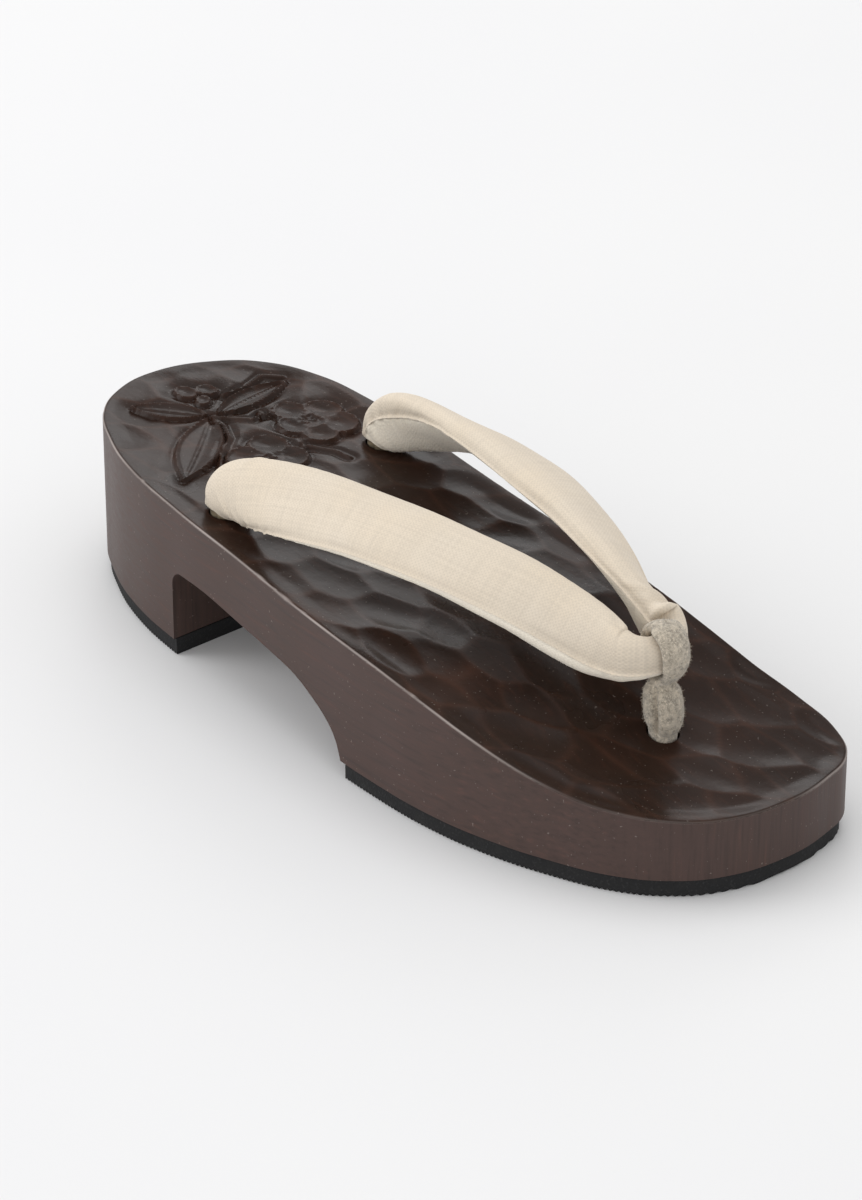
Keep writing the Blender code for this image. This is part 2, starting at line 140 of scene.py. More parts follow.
# One side of the strap behind its bend. Columns: share of the way back to the rear hole,
# share of the way out to it, share of the rise, shares of the half width and half
# thickness, turn of the outer face from straight ahead, its lean upwards
STRAP_ROWS = (
    (0.106, 0.05, 0.09, 0.87, 0.88, 77, 17),
    (0.174, 0.16, 0.31, 0.91, 0.94, 75, 34),
    (0.273, 0.36, 0.63, 0.94, 0.98, 73, 52),
    (0.379, 0.56, 0.86, 0.97, 1.00, 76, 62),
    (0.500, 0.73, 0.99, 1.00, 1.00, 80, 66),
    (0.636, 0.88, 1.02, 1.00, 1.00, 84, 60),
    (0.773, 0.98, 0.91, 0.98, 0.98, 88, 46),
    (0.856, 1.01, 0.79, 0.93, 0.96, 90, 32),
    (0.920, 1.02, 0.63, 0.87, 0.94, 90, 20),
    (0.962, 1.01, 0.45, 0.80, 0.92, 90, 10),
    (0.989, 1.00, 0.23, 0.70, 0.89, 90, 4),
)

# Seams between the strap's cover and its lining. Columns: share of the way back, lower
# seam's angle from the lower edge towards the outer face, upper seam's angle from the
# upper edge towards the inner face
SEAM_ROWS = (
    (0.00, 60, 74), (0.06, 60, 68), (0.12, 55, 50), (0.20, 43, 30), (0.32, 25, 17), (0.45, 16, 15),
    (0.60, 12, 17), (0.75, 10, 26), (0.85, 6, 48), (0.93, 2, 66), (1.00, 0, 74),
)
# How much of its rounding the lining side keeps: share of the way back, share of the bulge
UNDERSIDE_ROWS = (
    (0.00, 1.00), (0.06, 0.95), (0.16, 0.60), (0.75, 0.52), (0.90, 0.85), (1.00, 1.00),
)

# Carved ornament on the heel, in millimetres from the base's middle.
# Leaves: root, tip, half width, bow to the left of the way to the tip
LEAF_ROWS = (
    (-89.6, 1.4, -92.4, 26.8, 4.2, 0.6),
    (-90.8, -1.0, -108.0, -13.6, 4.1, 0.2),
    (-89.2, -1.4, -66.2, -28.0, 5.9, 0.5),
)
# Petals: middle, half length, half breadth, turn in degrees
PETAL_ROWS = (
    (-73.3, 23.8, 5.4, 4.6, 30), (-64.6, 23.2, 5.3, 4.6, -30), (-78.2, 16.6, 4.9, 4.4, -10),
    (-71.2, 12.6, 5.0, 4.0, 0), (-63.6, 15.4, 4.8, 4.4, 40), (-81.8, 11.2, 1.9, 1.5, 30),
    (-67.2, 0.8, 5.4, 4.7, 30), (-66.2, -8.2, 5.2, 4.4, -60), (-59.2, -11.0, 5.0, 4.4, -80),
    (-54.4, -5.0, 5.0, 4.4, 10), (-58.6, 2.0, 4.8, 4.2, -20),
    (-102.2, 7.4, 3.2, 2.5, 20), (-104.8, 2.3, 3.6, 2.6, 0), (-98.0, 3.0, 2.5, 1.9, -30),
)
# Flower hearts: middle, radius of the ring of stamens, radius where the petals meet
HEART_ROWS = ((-71.4, 18.2, 2.9, 5.2), (-61.4, -4.0, 2.8, 5.2))
# Stems, each a run of points
STEM_ROWS = (
    ((-89.6, -0.4), (-85.0, 2.6), (-81.0, 6.4), (-82.0, 10.4)),
    ((-89.6, -0.6), (-83.0, -1.4), (-77.0, -4.4), (-71.0, -12.0), (-62.5, -18.5)),
    ((-95.4, 27.6), (-99.5, 24.0), (-97.2, 17.0), (-97.6, 9.0)),
    ((-60.5, 8.6), (-54.0, 12.8), (-49.5, 13.6)),
)

# Chips on the near rim: place along the base, half length and reach, in millimetres
CHIP_ROWS = (
    (-17.5, 2.0, 0.8), (-11.0, 0.8, 0.7), (-6.5, 2.6, 0.9), (1.5, 0.9, 0.7), (-72.0, 1.1, 0.7),
    (44.0, 1.2, 0.7),
)

# Creases in the strap. Columns: side (1 inner, -1 outer), share of the way back, angle
# round the section, slant in degrees, half length and half breadth in mm, depth in mm
CREASE_ROWS = (
    (-1, 0.965, 60, 75, 5.0, 0.7, 0.55),
    (-1, 0.930, 25, 60, 3.2, 0.8, 0.60),
    (-1, 0.885, 15, 50, 3.0, 0.8, 0.45),
    (-1, 0.840, 12, 60, 2.8, 0.7, 0.40),
    (-1, 0.905, 160, -60, 4.0, 0.9, 0.35),
    (1, 0.955, 235, 80, 4.0, 0.7, 0.50),
    (1, 0.900, 205, 60, 3.4, 0.7, 0.40),
    (1, 0.845, 205, 65, 3.2, 0.7, 0.40),
    (1, 0.790, 202, 60, 3.0, 0.8, 0.35),
    (1, 0.730, 200, 55, 3.0, 0.8, 0.30),
    (1, 0.056, 186, 68, 4.6, 1.6, 2.60),
    (1, 0.100, 130, 50, 5.0, 1.3, 0.45),
    (1, 0.135, 175, 40, 4.0, 1.0, 0.40),
    (-1, 0.060, 190, 30, 4.0, 0.9, 0.45),
)

# Mesh fineness
OUTLINE_STEPS = 160
PROFILE_STEPS = 12
STRAP_STEPS = 8
SOLVER = "EXACT"

# Gouge scoops on the top, in millimetres and degrees. Pairs are along and across the base
SCOOP_COUNTS = (15, 11)
SCOOP_START = (-132, -46)
SCOOP_PITCH = (18.5, 9.6)
SCOOP_WANDER = (5.5, 2.2)
SCOOP_HALF = (13.5, 7.2)
SCOOP_TURN = 14
SCOOP_TURN_WANDER = 16
SCOOP_TOE_TURN = 14
SCOOP_TOE_START = 60
SCOOP_SHARPNESS = 12.0
# Where the heel's ornament fades out towards the toe, in millimetres from the middle
ORNAMENT_FADE = (-58, -40)

# Depths of the loops of edges drawn down from the rim, so the rubbed line ends close below it
RIM_DROPS = (0.0003, 0.0004, 0.0008, 0.001)
# How far below the top's line a face is a wall, and how level a top's face is at least
WALL_BELOW = 0.004
WALL_UPWARD = 0.30
# How far holes are drilled past the wood, below and above
DRILL_BOTTOM = -0.01
DRILL_TOP = 0.06

# Felt: size of the cells that even it out, and the thickness of its loose hairs
FELT_CELL = 0.0003
HAIR_RADIUS = 0.000045

# Breadths of the patterns' cells, in millimetres. Wood grain, felt fibres and dust are finer
# than a render shows, so they are drawn this coarse and their detail fills in the fine part
CARVED_GRAIN = 1.923
CARVED_CLOUDS = 26.32
CARVED_DUST = 0.6667
CARVED_RIPPLES = 3.846
SAWN_GRAIN = 1.111
SAWN_CLOUDS = 33.33
SAWN_DUST = 0.7692
THREAD_WOBBLE = 4.545
SLUB_LENGTH = 16.667
SLUB_BREADTH = 0.625
COTTON_CLOUDS = 22.22
CORD_STRANDS = 2.856
FELT_FIBRES = 0.4348
FELT_CLUMPS = 1.5385
RUBBER_PEBBLES = 0.7143
RUBBER_CLOUDS = 8.333
PAPER_CLOUDS = 333.3

# Stage: the photo's camera, worked out from the base's outline, and its soft lights
CAMERA_PLACE = (0.84336, -0.70719, 0.66906)
CAMERA_AIM = (0.000, 0.000, 0.028)
CAMERA_LENS = 150
# Lights: name, place, target, width in metres, power in watts
LIGHT_ROWS = (
    ("overhead_soft", (-0.45, 0.10, 1.9), (0, 0, 0), 1.7, 8.5),
    ("left_soft", (-1.35, -1.25, 1.10), (0, 0, 0.02), 1.2, 11),
    ("back_soft", (-1.5, 1.35, 1.20), (0, 0, 0.02), 0.8, 4),
    ("near_fill", (0.5, -1.7, 0.8), (0, 0, 0.02), 1.2, 4),
)


def linear(hex_colour):
    """An sRGB hex colour as linear RGB."""
    parts = [int(hex_colour[place:place + 2], 16) / 255 for place in (1, 3, 5)]
    return tuple(c / 12.92 if c <= 0.04045 else ((c + 0.055) / 1.055) ** 2.4 for c in parts)


def colour_setting(name, description, hex_colour):
    """A colour that a user can change."""
    return bpy.props.FloatVectorProperty(
        name=name, description=description, subtype="COLOR", size=3, min=0, max=1,
        default=linear(hex_colour))


def length_setting(name, description, default, low, high):
    """A length in metres that a user can change."""
    return bpy.props.FloatProperty(
        name=name, description=description, default=default, min=low, max=high,
        unit="LENGTH", precision=5)


class GetaBaseSettings(bpy.types.PropertyGroup):
    """Carving and finish of the wooden base."""

    gouge_depth: length_setting(
        "Gouge depth", "Depth of the gouge scoops on the top", 0.00085, 0, 0.0015)
    relief_depth: length_setting(
        "Relief depth", "Depth of the ground round the carved leaves and flowers", 0.00125, 0, 0.003)
    # The rim line is rubbed wear with a painted highlight along the edge
    edge_wear_and_highlight: length_setting(
        "Edge wear and highlight", "Breadth of the rubbed line along the top's rim", 0.00045, 0, 0.002)
    top_colour: colour_setting("Top", "Lacquer on the carved top", "#21150f")
    crest_colour: colour_setting("Crests", "Lacquer rubbed thin on the carving's crests", "#462d22")
    wall_colour: colour_setting("Sides", "Satin lacquer on the sawn sides", "#42312b")
    # Colour of the rim line: rubbed wood and a painted highlight
    wear_and_highlight_colour: colour_setting("Rubbed edge and highlight", "Wood showing along the rim", "#9f9590")


class GetaStrapSettings(bpy.types.PropertyGroup):
    """Cloth and seams of the padded strap."""

    seam_depth: length_setting(
        "Seam depth", "Depth of the groove between cover and lining", 0.0006, 0, 0.0015)
    thread_pitch: length_setting(
        "Thread spacing", "Spacing of the cover's threads", 0.00052, 0.0001, 0.002)
    cover_colour: colour_setting("Cover", "Undyed cotton cover", "#d9cdbc")
    # Paler cotton, made brighter still as painted light because the lining faces down
    lining_colour_with_painted_light: colour_setting("Lining", "Paler cotton lining", "#fbf2e2")
    cord_colour: colour_setting("Cord", "Hemp cord through the holes", "#93846b")


class GetaThongSettings(bpy.types.PropertyGroup):
    """Felt of the thong."""

    hair_length: length_setting(
        "Hair length", "Length of the loose hairs on the felt", 0.0006, 0, 0.003)
    hair_count: bpy.props.IntProperty(
        name="Hairs", description="Number of loose hairs on the felt", default=2600, min=0, max=8000)
    felt_colour: colour_setting("Felt", "Grey wool felt", "#bcb1a0")


class GetaTreadSettings(bpy.types.PropertyGroup):
    """Rubber under the two blocks."""

    rib_pitch: length_setting(
        "Rib spacing", "Spacing of the ribs under the treads", 0.0012, 0.0005, 0.01)
    rib_depth: length_setting(
        "Rib depth", "Depth of the grooves between the ribs", 0.0004, 0, 0.002)
    rubber_colour: colour_setting("Rubber", "Black crepe rubber", "#1c1c1d")


# Curves and heights of the base


def smooth_rows(rows, steps):
    """Points on a Catmull-Rom curve through the rows."""
    rows = np.array(rows, float)
    before = np.vstack([rows[:1], rows[:-2]])[:, None]
    start = rows[:-1][:, None]
    end = rows[1:][:, None]
    after = np.vstack([rows[2:], rows[-1:]])[:, None]
    t = (np.arange(steps) / steps)[None, :, None]
    points = 0.5 * (2 * start + (end - before) * t
                    + (2 * before - 5 * start + 4 * end - after) * t ** 2
                    + (3 * start - before - 3 * end + after) * t ** 3)
    return np.vstack([points.reshape(-1, rows.shape[1]), rows[-1:]])


TOP_LINE = smooth_rows(TOP_ROWS, PROFILE_STEPS)
ARCH_LINE = smooth_rows(ARCH_ROWS, PROFILE_STEPS)


def top_height(x):
    """Height of the uncarved top at a distance from the base's middle."""
    return np.interp(x / LENGTH + 0.5, TOP_LINE[:, 0], TOP_LINE[:, 1]) * HEEL_HEIGHT


def arch_height(x):
    """Height of the arch's underside at a distance from the base's middle."""
    return np.interp(x / LENGTH + 0.5, ARCH_LINE[:, 0], ARCH_LINE[:, 1]) * HEEL_HEIGHT


def strap_frame():
    """Front hole's place, unit directions back and across, and the distance to the rear holes."""
    front = np.array((FRONT_HOLE_X, FRONT_MIDDLE, 0))
    rear = np.array((REAR_HOLES_X, REAR_MIDDLE, 0))
    run = np.linalg.norm(rear - front)
    back = (rear - front) / run
    return front, back, np.array((back[1], -back[0], 0)), run


def hole_places():
    """Places of the front hole, the inner rear hole and the outer rear hole."""
    front, back, across, run = strap_frame()
    rear = front + back * run
    return front, rear + across * REAR_HOLE_SPREAD, rear - across * REAR_HOLE_SPREAD


def outline_loop(inset):
    """The outline from above, drawn in by an inset, as a closed run of points."""
    curve = bpy.data.curves.new("outline", "CURVE")
    curve.resolution_u = OUTLINE_STEPS
    spline = curve.splines.new("BEZIER")
    spline.use_cyclic_u = True
    spline.bezier_points.add(len(OUTLINE_ROWS) - 1)
    for knot, (x, y) in zip(spline.bezier_points, OUTLINE_ROWS):
        knot.co = ((x - 0.5) * (LENGTH - 2 * inset), y * (WIDTH / 2 - inset), 0)
        knot.handle_left_type = "AUTO"
        knot.handle_right_type = "AUTO"
    holder = bpy.data.objects.new("outline", curve)
    bpy.context.scene.collection.objects.link(holder)
    bpy.context.view_layer.update()
    evaluated = holder.evaluated_get(bpy.context.evaluated_depsgraph_get())
    mesh = bpy.data.meshes.new_from_object(evaluated)
    points = np.array([tuple(vertex.co)[:2] for vertex in mesh.vertices])
    bpy.data.objects.remove(holder, do_unlink=True)
    bpy.data.curves.remove(curve)
    bpy.data.meshes.remove(mesh)
    return points


def inward_distance(x, y):
    """How far each point lies from the outline."""
    loop = outline_loop(0)
    tree = KDTree(len(loop))
    for index, (loop_x, loop_y) in enumerate(loop):
        tree.insert((loop_x, loop_y, 0), index)
    tree.balance()
    found = [tree.find((point_x, point_y, 0))[2] for point_x, point_y in zip(x.ravel(), y.ravel())]
    return np.array(found).reshape(x.shape)


def walked_along(points):
    """Distance walked to each point of a run."""
    return np.append(0, np.cumsum(np.linalg.norm(np.diff(points, axis=0), axis=1)))


def walked_round(rings):
    """Distance walked round each ring to each of its points."""
    steps = np.linalg.norm(np.diff(rings, axis=1), axis=2)
    return np.hstack([np.zeros((len(rings), 1)), np.cumsum(steps, axis=1)])


def along_line(points, shares, measure):
    """Points at shares of a line, measured by its length or by its distance along X."""
    walked = points[:, 0] - points[0, 0] if measure == "X" else walked_along(points)
    wanted = shares * walked[-1]
    return np.column_stack([np.interp(wanted, walked, points[:, axis]) for axis in (0, 1)])


def outline_sheet(along, across):
    """Places of a sheet of rows that fills the outline, from shares along and across it."""
    loop = outline_loop(0)
    cuts = [int(round(corner * OUTLINE_STEPS)) for corner in OUTLINE_CORNERS]
    outer_side = loop[cuts[0]:cuts[1] + 1]
    toe = loop[cuts[1]:cuts[2] + 1]
    inner_side = loop[cuts[2]:cuts[3] + 1][::-1]
    heel = np.vstack([loop[cuts[3]:], loop[:cuts[0] + 1]])[::-1]
    outer_row = along_line(outer_side, along, "X")[:, None]
    inner_row = along_line(inner_side, along, "X")[:, None]
    heel_row = along_line(heel, across, "LENGTH")[None]
    toe_row = along_line(toe, across, "LENGTH")[None]
    s = along[:, None, None]
    t = across[None, :, None]
    corners = ((1 - s) * (1 - t) * outer_side[0] + (1 - s) * t * inner_side[0]
               + s * (1 - t) * outer_side[-1] + s * t * inner_side[-1])
    return (1 - t) * outer_row + t * inner_row + (1 - s) * heel_row + s * toe_row - corners


# Carving of the top, worked out in millimetres


def ease(value, low, high):
    """A share from 0 to 1 that starts and ends softly between two values."""
    share = np.clip((value - low) / (high - low), 0, 1)
    return share * share * (3 - 2 * share)


def ridge(distance, breadth):
    """1 on a line and falling to 0 on both sides, to about a third at its breadth."""
    return np.exp(-(distance / breadth) ** 2)


def turned_axes(x, y, angle):
    """Distances along and across a direction turned from X by an angle."""
    c = math.cos(angle)
    s = math.sin(angle)
    return x * c + y * s, y * c - x * s


def gouge_scoops(x, y, depth):
    """Depth of the overlapping gouge scoops, and how near each point is to a crest."""
    chance = np.random.default_rng(11)
    total = np.zeros(x.shape)
    strongest = np.zeros(x.shape)
    for row in range(SCOOP_COUNTS[1]):
        for column in range(SCOOP_COUNTS[0]):
            along = SCOOP_START[0] + column * SCOOP_PITCH[0] + (row % 2) * SCOOP_PITCH[0] / 2
            middle_x = along + chance.uniform(-SCOOP_WANDER[0], SCOOP_WANDER[0])
            across = SCOOP_START[1] + row * SCOOP_PITCH[1]
            middle_y = across + chance.uniform(-SCOOP_WANDER[1], SCOOP_WANDER[1])
            wander = chance.uniform(-SCOOP_TURN_WANDER, SCOOP_TURN_WANDER)
            turn = SCOOP_TURN + wander + SCOOP_TOE_TURN * (middle_x > SCOOP_TOE_START)
            half_along = SCOOP_HALF[0] * chance.uniform(0.75, 1.25)
            half_across = SCOOP_HALF[1] * chance.uniform(0.8, 1.2)
            bottom = depth * chance.uniform(0.60, 1.2)
            u, v = turned_axes(x - middle_x, y - middle_y, math.radians(turn))
            bowl = bottom * (1 - (u / half_along) ** 2 - (v / half_across) ** 2)
            weight = np.exp(SCOOP_SHARPNESS * np.maximum(bowl, -4))
            total += weight
            strongest = np.maximum(strongest, weight)
    crest = np.clip(2.2 * (1 - strongest / total), 0, 1)
    return np.maximum(np.log(total) / SCOOP_SHARPNESS, 0), crest


def leaf_form(x, y, row):
    """Distance outside a carved leaf, distance from its midrib, and its half breadth there."""
    root_x, root_y, tip_x, tip_y, half_breadth, bow = row
    length = math.hypot(tip_x - root_x, tip_y - root_y)
    ahead_x = (tip_x - root_x) / length
    ahead_y = (tip_y - root_y) / length
    u = (x - root_x) * ahead_x + (y - root_y) * ahead_y
    share = np.clip(u / length, 0, 1)
    v = (y - root_y) * ahead_x - (x - root_x) * ahead_y - bow * 4 * share * (1 - share)
    half = half_breadth * np.sin(math.pi * share ** 0.92) ** 0.85
    beyond = np.maximum(np.maximum(-u, u - length), 0)
    outside = np.where(beyond > 0, np.hypot(beyond, v), np.abs(v) - half)
    return outside, v, half


def petal_form(x, y, row):
    """Distance outside a carved petal, less than 0 inside it."""
    middle_x, middle_y, half_length, half_breadth, turn = row
    u, v = turned_axes(x - middle_x, y - middle_y, math.radians(turn))
    reach = np.hypot(u / half_length, v / half_breadth)
    return (reach - 1) * min(half_length, half_breadth) * (0.75 + 0.25 * np.clip(reach, 0, 3))


def line_distance(x, y, points):
    """Distance from a run of short straight lines."""
    nearest = np.full(x.shape, 1e9)
    for (x0, y0), (x1, y1) in zip(points, points[1:]):
        length = (x1 - x0) ** 2 + (y1 - y0) ** 2
        share = np.clip(((x - x0) * (x1 - x0) + (y - y0) * (y1 - y0)) / length, 0, 1)
        away = np.hypot(x - x0 - share * (x1 - x0), y - y0 - share * (y1 - y0))
        nearest = np.minimum(nearest, away)
    return nearest


def carving(x, y, gouge_depth, relief_depth):
    """Depth of the carving below the plain top, and how near each point is to a crest."""
    scoops, crest = gouge_scoops(x, y, gouge_depth)
    near_heel = 1 - ease(x, *ORNAMENT_FADE)
    leaves = [leaf_form(x, y, row) for row in LEAF_ROWS]
    petals = [petal_form(x, y, row) for row in PETAL_ROWS]
    hearts = [np.hypot(x - row[0], y - row[1]) for row in HEART_ROWS]
    flower = np.minimum.reduce(petals + [away - row[3] for away, row in zip(hearts, HEART_ROWS)])
    outside = np.minimum.reduce([leaf[0] for leaf in leaves] + [flower])

    # Plain scoops, sunk round the ornament so that it stands up
    depth = scoops * (1 - 0.45 * near_heel) + 0.12 * near_heel
    unevenness = 0.9 + 0.1 * np.sin(x * 0.9 + y * 0.7)
    depth += relief_depth * np.exp(-np.maximum(outside, 0) / 2.6) * unevenness
    lines = np.zeros(x.shape)

    # Leaves, dished from the midrib to a sharp edge
    for distance, v, half in leaves:
        inside = ease(-distance, -0.5, 0.35)
        across = np.clip(np.abs(v) / np.maximum(half, 0.5), 0, 1)
        dish = relief_depth * (0.25 + 0.62 * (1 - across ** 2)) * np.where(v > 0, 1.0, 0.82)
        dish -= relief_depth * 0.16 * ridge(v, 0.45)
        depth = depth * (1 - inside) + dish * inside
        lines = np.maximum(lines, ridge(distance + 0.15, 0.52))
        lines = np.maximum(lines, 0.12 * ridge(v, 0.4) * inside)

    # Petals, dished towards the flower's heart, with a low fold where two meet
    inside = ease(-flower, -0.5, 0.4)
    dish = relief_depth * (0.28 + 0.60 * ease(-flower, 0.3, 4.2))
    for distance in petals:
        dish = dish - 0.10 * relief_depth * ridge(distance, 0.9) * ease(-flower, 0.8, 2.2)
    depth = depth * (1 - inside) + dish * inside
    lines = np.maximum(lines, ridge(flower + 0.1, 0.52))

    # Hearts, pitted inside a five-lobed ring
    for away, (middle_x, middle_y, ring, _) in zip(hearts, HEART_ROWS):
        ring = ring * (0.84 + 0.16 * np.cos(5 * np.arctan2(y - middle_y, x - middle_x) + 0.6))
        inside = 1 - ease(away, ring - 0.3, ring + 0.5)
        pits_along = np.sin(x * 4.4 + 0.8 * np.sin(y * 2.1))
        pits_across = np.sin(y * 4.1 + 0.9 * np.sin(x * 1.7))
        pits = 0.5 + 0.5 * pits_along * pits_across
        depth = depth * (1 - inside) + relief_depth * (0.40 + 0.42 * pits) * inside
        lines = np.maximum(lines, 0.55 * ridge(away - ring, 0.5))

    # Stems, raised between two shallow grooves
    for points in STEM_ROWS:
        away = line_distance(x, y, points)
        depth = depth + 0.35 * relief_depth * ridge(away - 1.5, 0.8)
        lines = np.maximum(lines, 0.75 * ridge(away, 0.65))

    depth = depth * (1 - 0.93 * lines)
    return np.maximum(depth, 0), np.clip(np.maximum(crest * 0.8, lines * 0.7), 0, 1)


# Modelling helpers


def deselect():
    """Leave edit mode and select nothing."""
    if bpy.context.object and bpy.context.object.mode != "OBJECT":
        bpy.ops.object.mode_set(mode="OBJECT")
    bpy.ops.object.select_all(action="DESELECT")


def pick(piece):
    """Select one piece alone and make it active."""
    deselect()
    piece.select_set(True)
    bpy.context.view_layer.objects.active = piece


def named(name):
    """The object just added, given its name."""
    piece = bpy.context.object
    piece.name = name
    piece.data.name = name
    return piece


def points_of(piece):
    """A piece's points as a table of places."""
    flat = np.zeros(len(piece.data.vertices) * 3, np.float32)
    piece.data.vertices.foreach_get("co", flat)
    return flat.reshape(-1, 3).astype(float)


def set_points(piece, places):
    """Move a piece's points to a table of places."""
    piece.data.vertices.foreach_set("co", places.astype(np.float32).ravel())
    piece.data.update()


def corner_points(piece):
    """Number of the point at each corner of a piece's faces."""
    corners = np.zeros(len(piece.data.loops), int)
    piece.data.loops.foreach_get("vertex_index", corners)
    return corners


def grid_piece(name, places, cloth=None):
    """A grid primitive whose points are moved to a table of places, with UVs in metres if given."""
    rows, columns = places.shape[:2]
    deselect()
    bpy.ops.mesh.primitive_grid_add(x_subdivisions=rows - 1, y_subdivisions=columns - 1, size=1)
    piece = named(name)
    start = points_of(piece)
    row = np.rint((start[:, 0] + 0.5) * (rows - 1)).astype(int)
    column = np.rint((start[:, 1] + 0.5) * (columns - 1)).astype(int)
    set_points(piece, places[row, column])
    if cloth is not None:
        corners = corner_points(piece)
        layer = piece.data.uv_layers[0]
        layer.name = "cloth"
        layer.data.foreach_set("uv", cloth[row[corners], column[corners]].astype(np.float32).ravel())
    return piece


def close_edit():
    """Point every face outwards and leave edit mode."""
    bpy.ops.mesh.select_all(action="SELECT")
    bpy.ops.mesh.normals_make_consistent(inside=False)
    bpy.ops.object.mode_set(mode="OBJECT")


def thicken(rise, plane):
    """Draw the selection out along Z, level it at a height and close the edit."""
    bpy.ops.mesh.extrude_region_move(TRANSFORM_OT_translate={"value": (0, 0, rise)})
    bpy.ops.transform.resize(value=(1, 1, 0), center_override=(0, 0, plane))
    close_edit()


def merge_points(piece, distance=0.000002):
    """Merge points that fall together, such as a ring's first and last."""
    pick(piece)
    bpy.ops.object.mode_set(mode="EDIT")
    bpy.ops.mesh.select_all(action="SELECT")
    bpy.ops.mesh.remove_doubles(threshold=distance)
    close_edit()


def close_ends(piece):
    """Fill every open edge loop of a piece."""
    pick(piece)
    bpy.ops.object.mode_set(mode="EDIT")
    bpy.ops.mesh.select_mode(type="EDGE")
    bpy.ops.mesh.select_all(action="DESELECT")
    bpy.ops.mesh.select_non_manifold(
        extend=False, use_multi_face=False, use_non_contiguous=False, use_verts=False)
    bpy.ops.mesh.fill_holes(sides=0)
    close_edit()


def cut(piece, cutter, operation="DIFFERENCE"):
    """Boolean one piece with another and drop the other."""
    pick(piece)
    modifier = piece.modifiers.new(cutter.name, "BOOLEAN")
    modifier.operation = operation
    modifier.solver = SOLVER
    modifier.object = cutter
    bpy.ops.object.modifier_apply(modifier=modifier.name)
    bpy.data.objects.remove(cutter, do_unlink=True)


def drill(name, place, radius, bottom, top):
    """An upright round cutter at a place."""
    deselect()
    bpy.ops.mesh.primitive_cylinder_add(
        vertices=48, radius=radius, depth=top - bottom,
        location=(place[0], place[1], (bottom + top) / 2))
    piece = named(name)
    bpy.ops.object.transform_apply(location=True, rotation=True, scale=True)
    return piece


def set_attribute(piece, name, values):
    """Store a value at each point for a material to read."""
    attribute = piece.data.attributes.new(name, "FLOAT", "POINT")
    attribute.data.foreach_set("value", values.astype(np.float32))


def finish_piece(piece, materials, angle=40):
    """Smooth shading, materials and the ride on the one body."""
    pick(piece)
    bpy.ops.object.shade_smooth_by_angle(angle=math.radians(angle))
    piece.data.materials.clear()
    for material in materials:
        piece.data.materials.append(material)
    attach(piece, "root")


def faces_of(piece):
    """Middles and normals of a piece's faces."""
    count = len(piece.data.polygons)
    middles = np.zeros(count * 3, np.float32)
    normals = np.zeros(count * 3, np.float32)
    piece.data.polygons.foreach_get("center", middles)
    piece.data.polygons.foreach_get("normal", normals)
    return middles.reshape(-1, 3), normals.reshape(-1, 3)


# Materials


PLACE = ("place", "Object")
SHADER = "Principled BSDF"
# A colour Mix node's sockets are told apart by number, because their names repeat
MIX_SHARE = 0
MIX_UNDER = 6
MIX_OVER = 7
MIXED = 2


def cells(millimetres):
    """Scale of a noise whose cells are this wide on a piece measured in metres."""
    return 1000 / millimetres


def opaque(colour):
    """A colour with the fourth part that sockets ask for."""
    return (*colour[:3], 1.0)


def shaded(colour, *factors):
    """A colour with its parts multiplied, all by one factor or each by its own."""
    if len(factors) == 1:
        factors = factors * 3
    return tuple(min(part * factor, 1) for part, factor in zip(colour, factors))


def add_node(material, name, kind, sockets, **settings):
    """Add a node, or take the one of that name, with its settings, values and links.

    A socket takes a value, or another node's name with its output to link.
    """
    tree = material.node_tree
    node = tree.nodes.get(name) or tree.nodes.new("ShaderNode" + kind)
    node.name = name
    for setting, value in settings.items():
        setattr(node, setting, value)
    for socket, value in sockets.items():
        if isinstance(value, tuple) and isinstance(value[0], str):
            source, output = value
            tree.links.new(tree.nodes[source].outputs[output], node.inputs[socket])
        else:
            node.inputs[socket].default_value = value
    return node


def new_material(name):
    """An empty material with its shader and its object coordinates."""
    material = bpy.data.materials.new(name)
    material.use_nodes = True
    add_node(material, PLACE[0], "TexCoord", {})
    return material


def lay_colours(material, under, layers):
    """Lay colours one over another, each where its pattern lies between two values.

    A layer holds its name, pattern, low and high value, how much shows at each, and colour.
    """
    for name, pattern, low, high, least, most, colour in layers:
        share = name + "_share"
        add_node(material, share, "MapRange", {
            "Value": pattern, "From Min": low, "From Max": high, "To Min": least, "To Max": most})
        add_node(material, name, "Mix", {
            MIX_SHARE: (share, "Result"), MIX_UNDER: under, MIX_OVER: opaque(colour)}, data_type="RGBA")
        under = (name, MIXED)
    return under


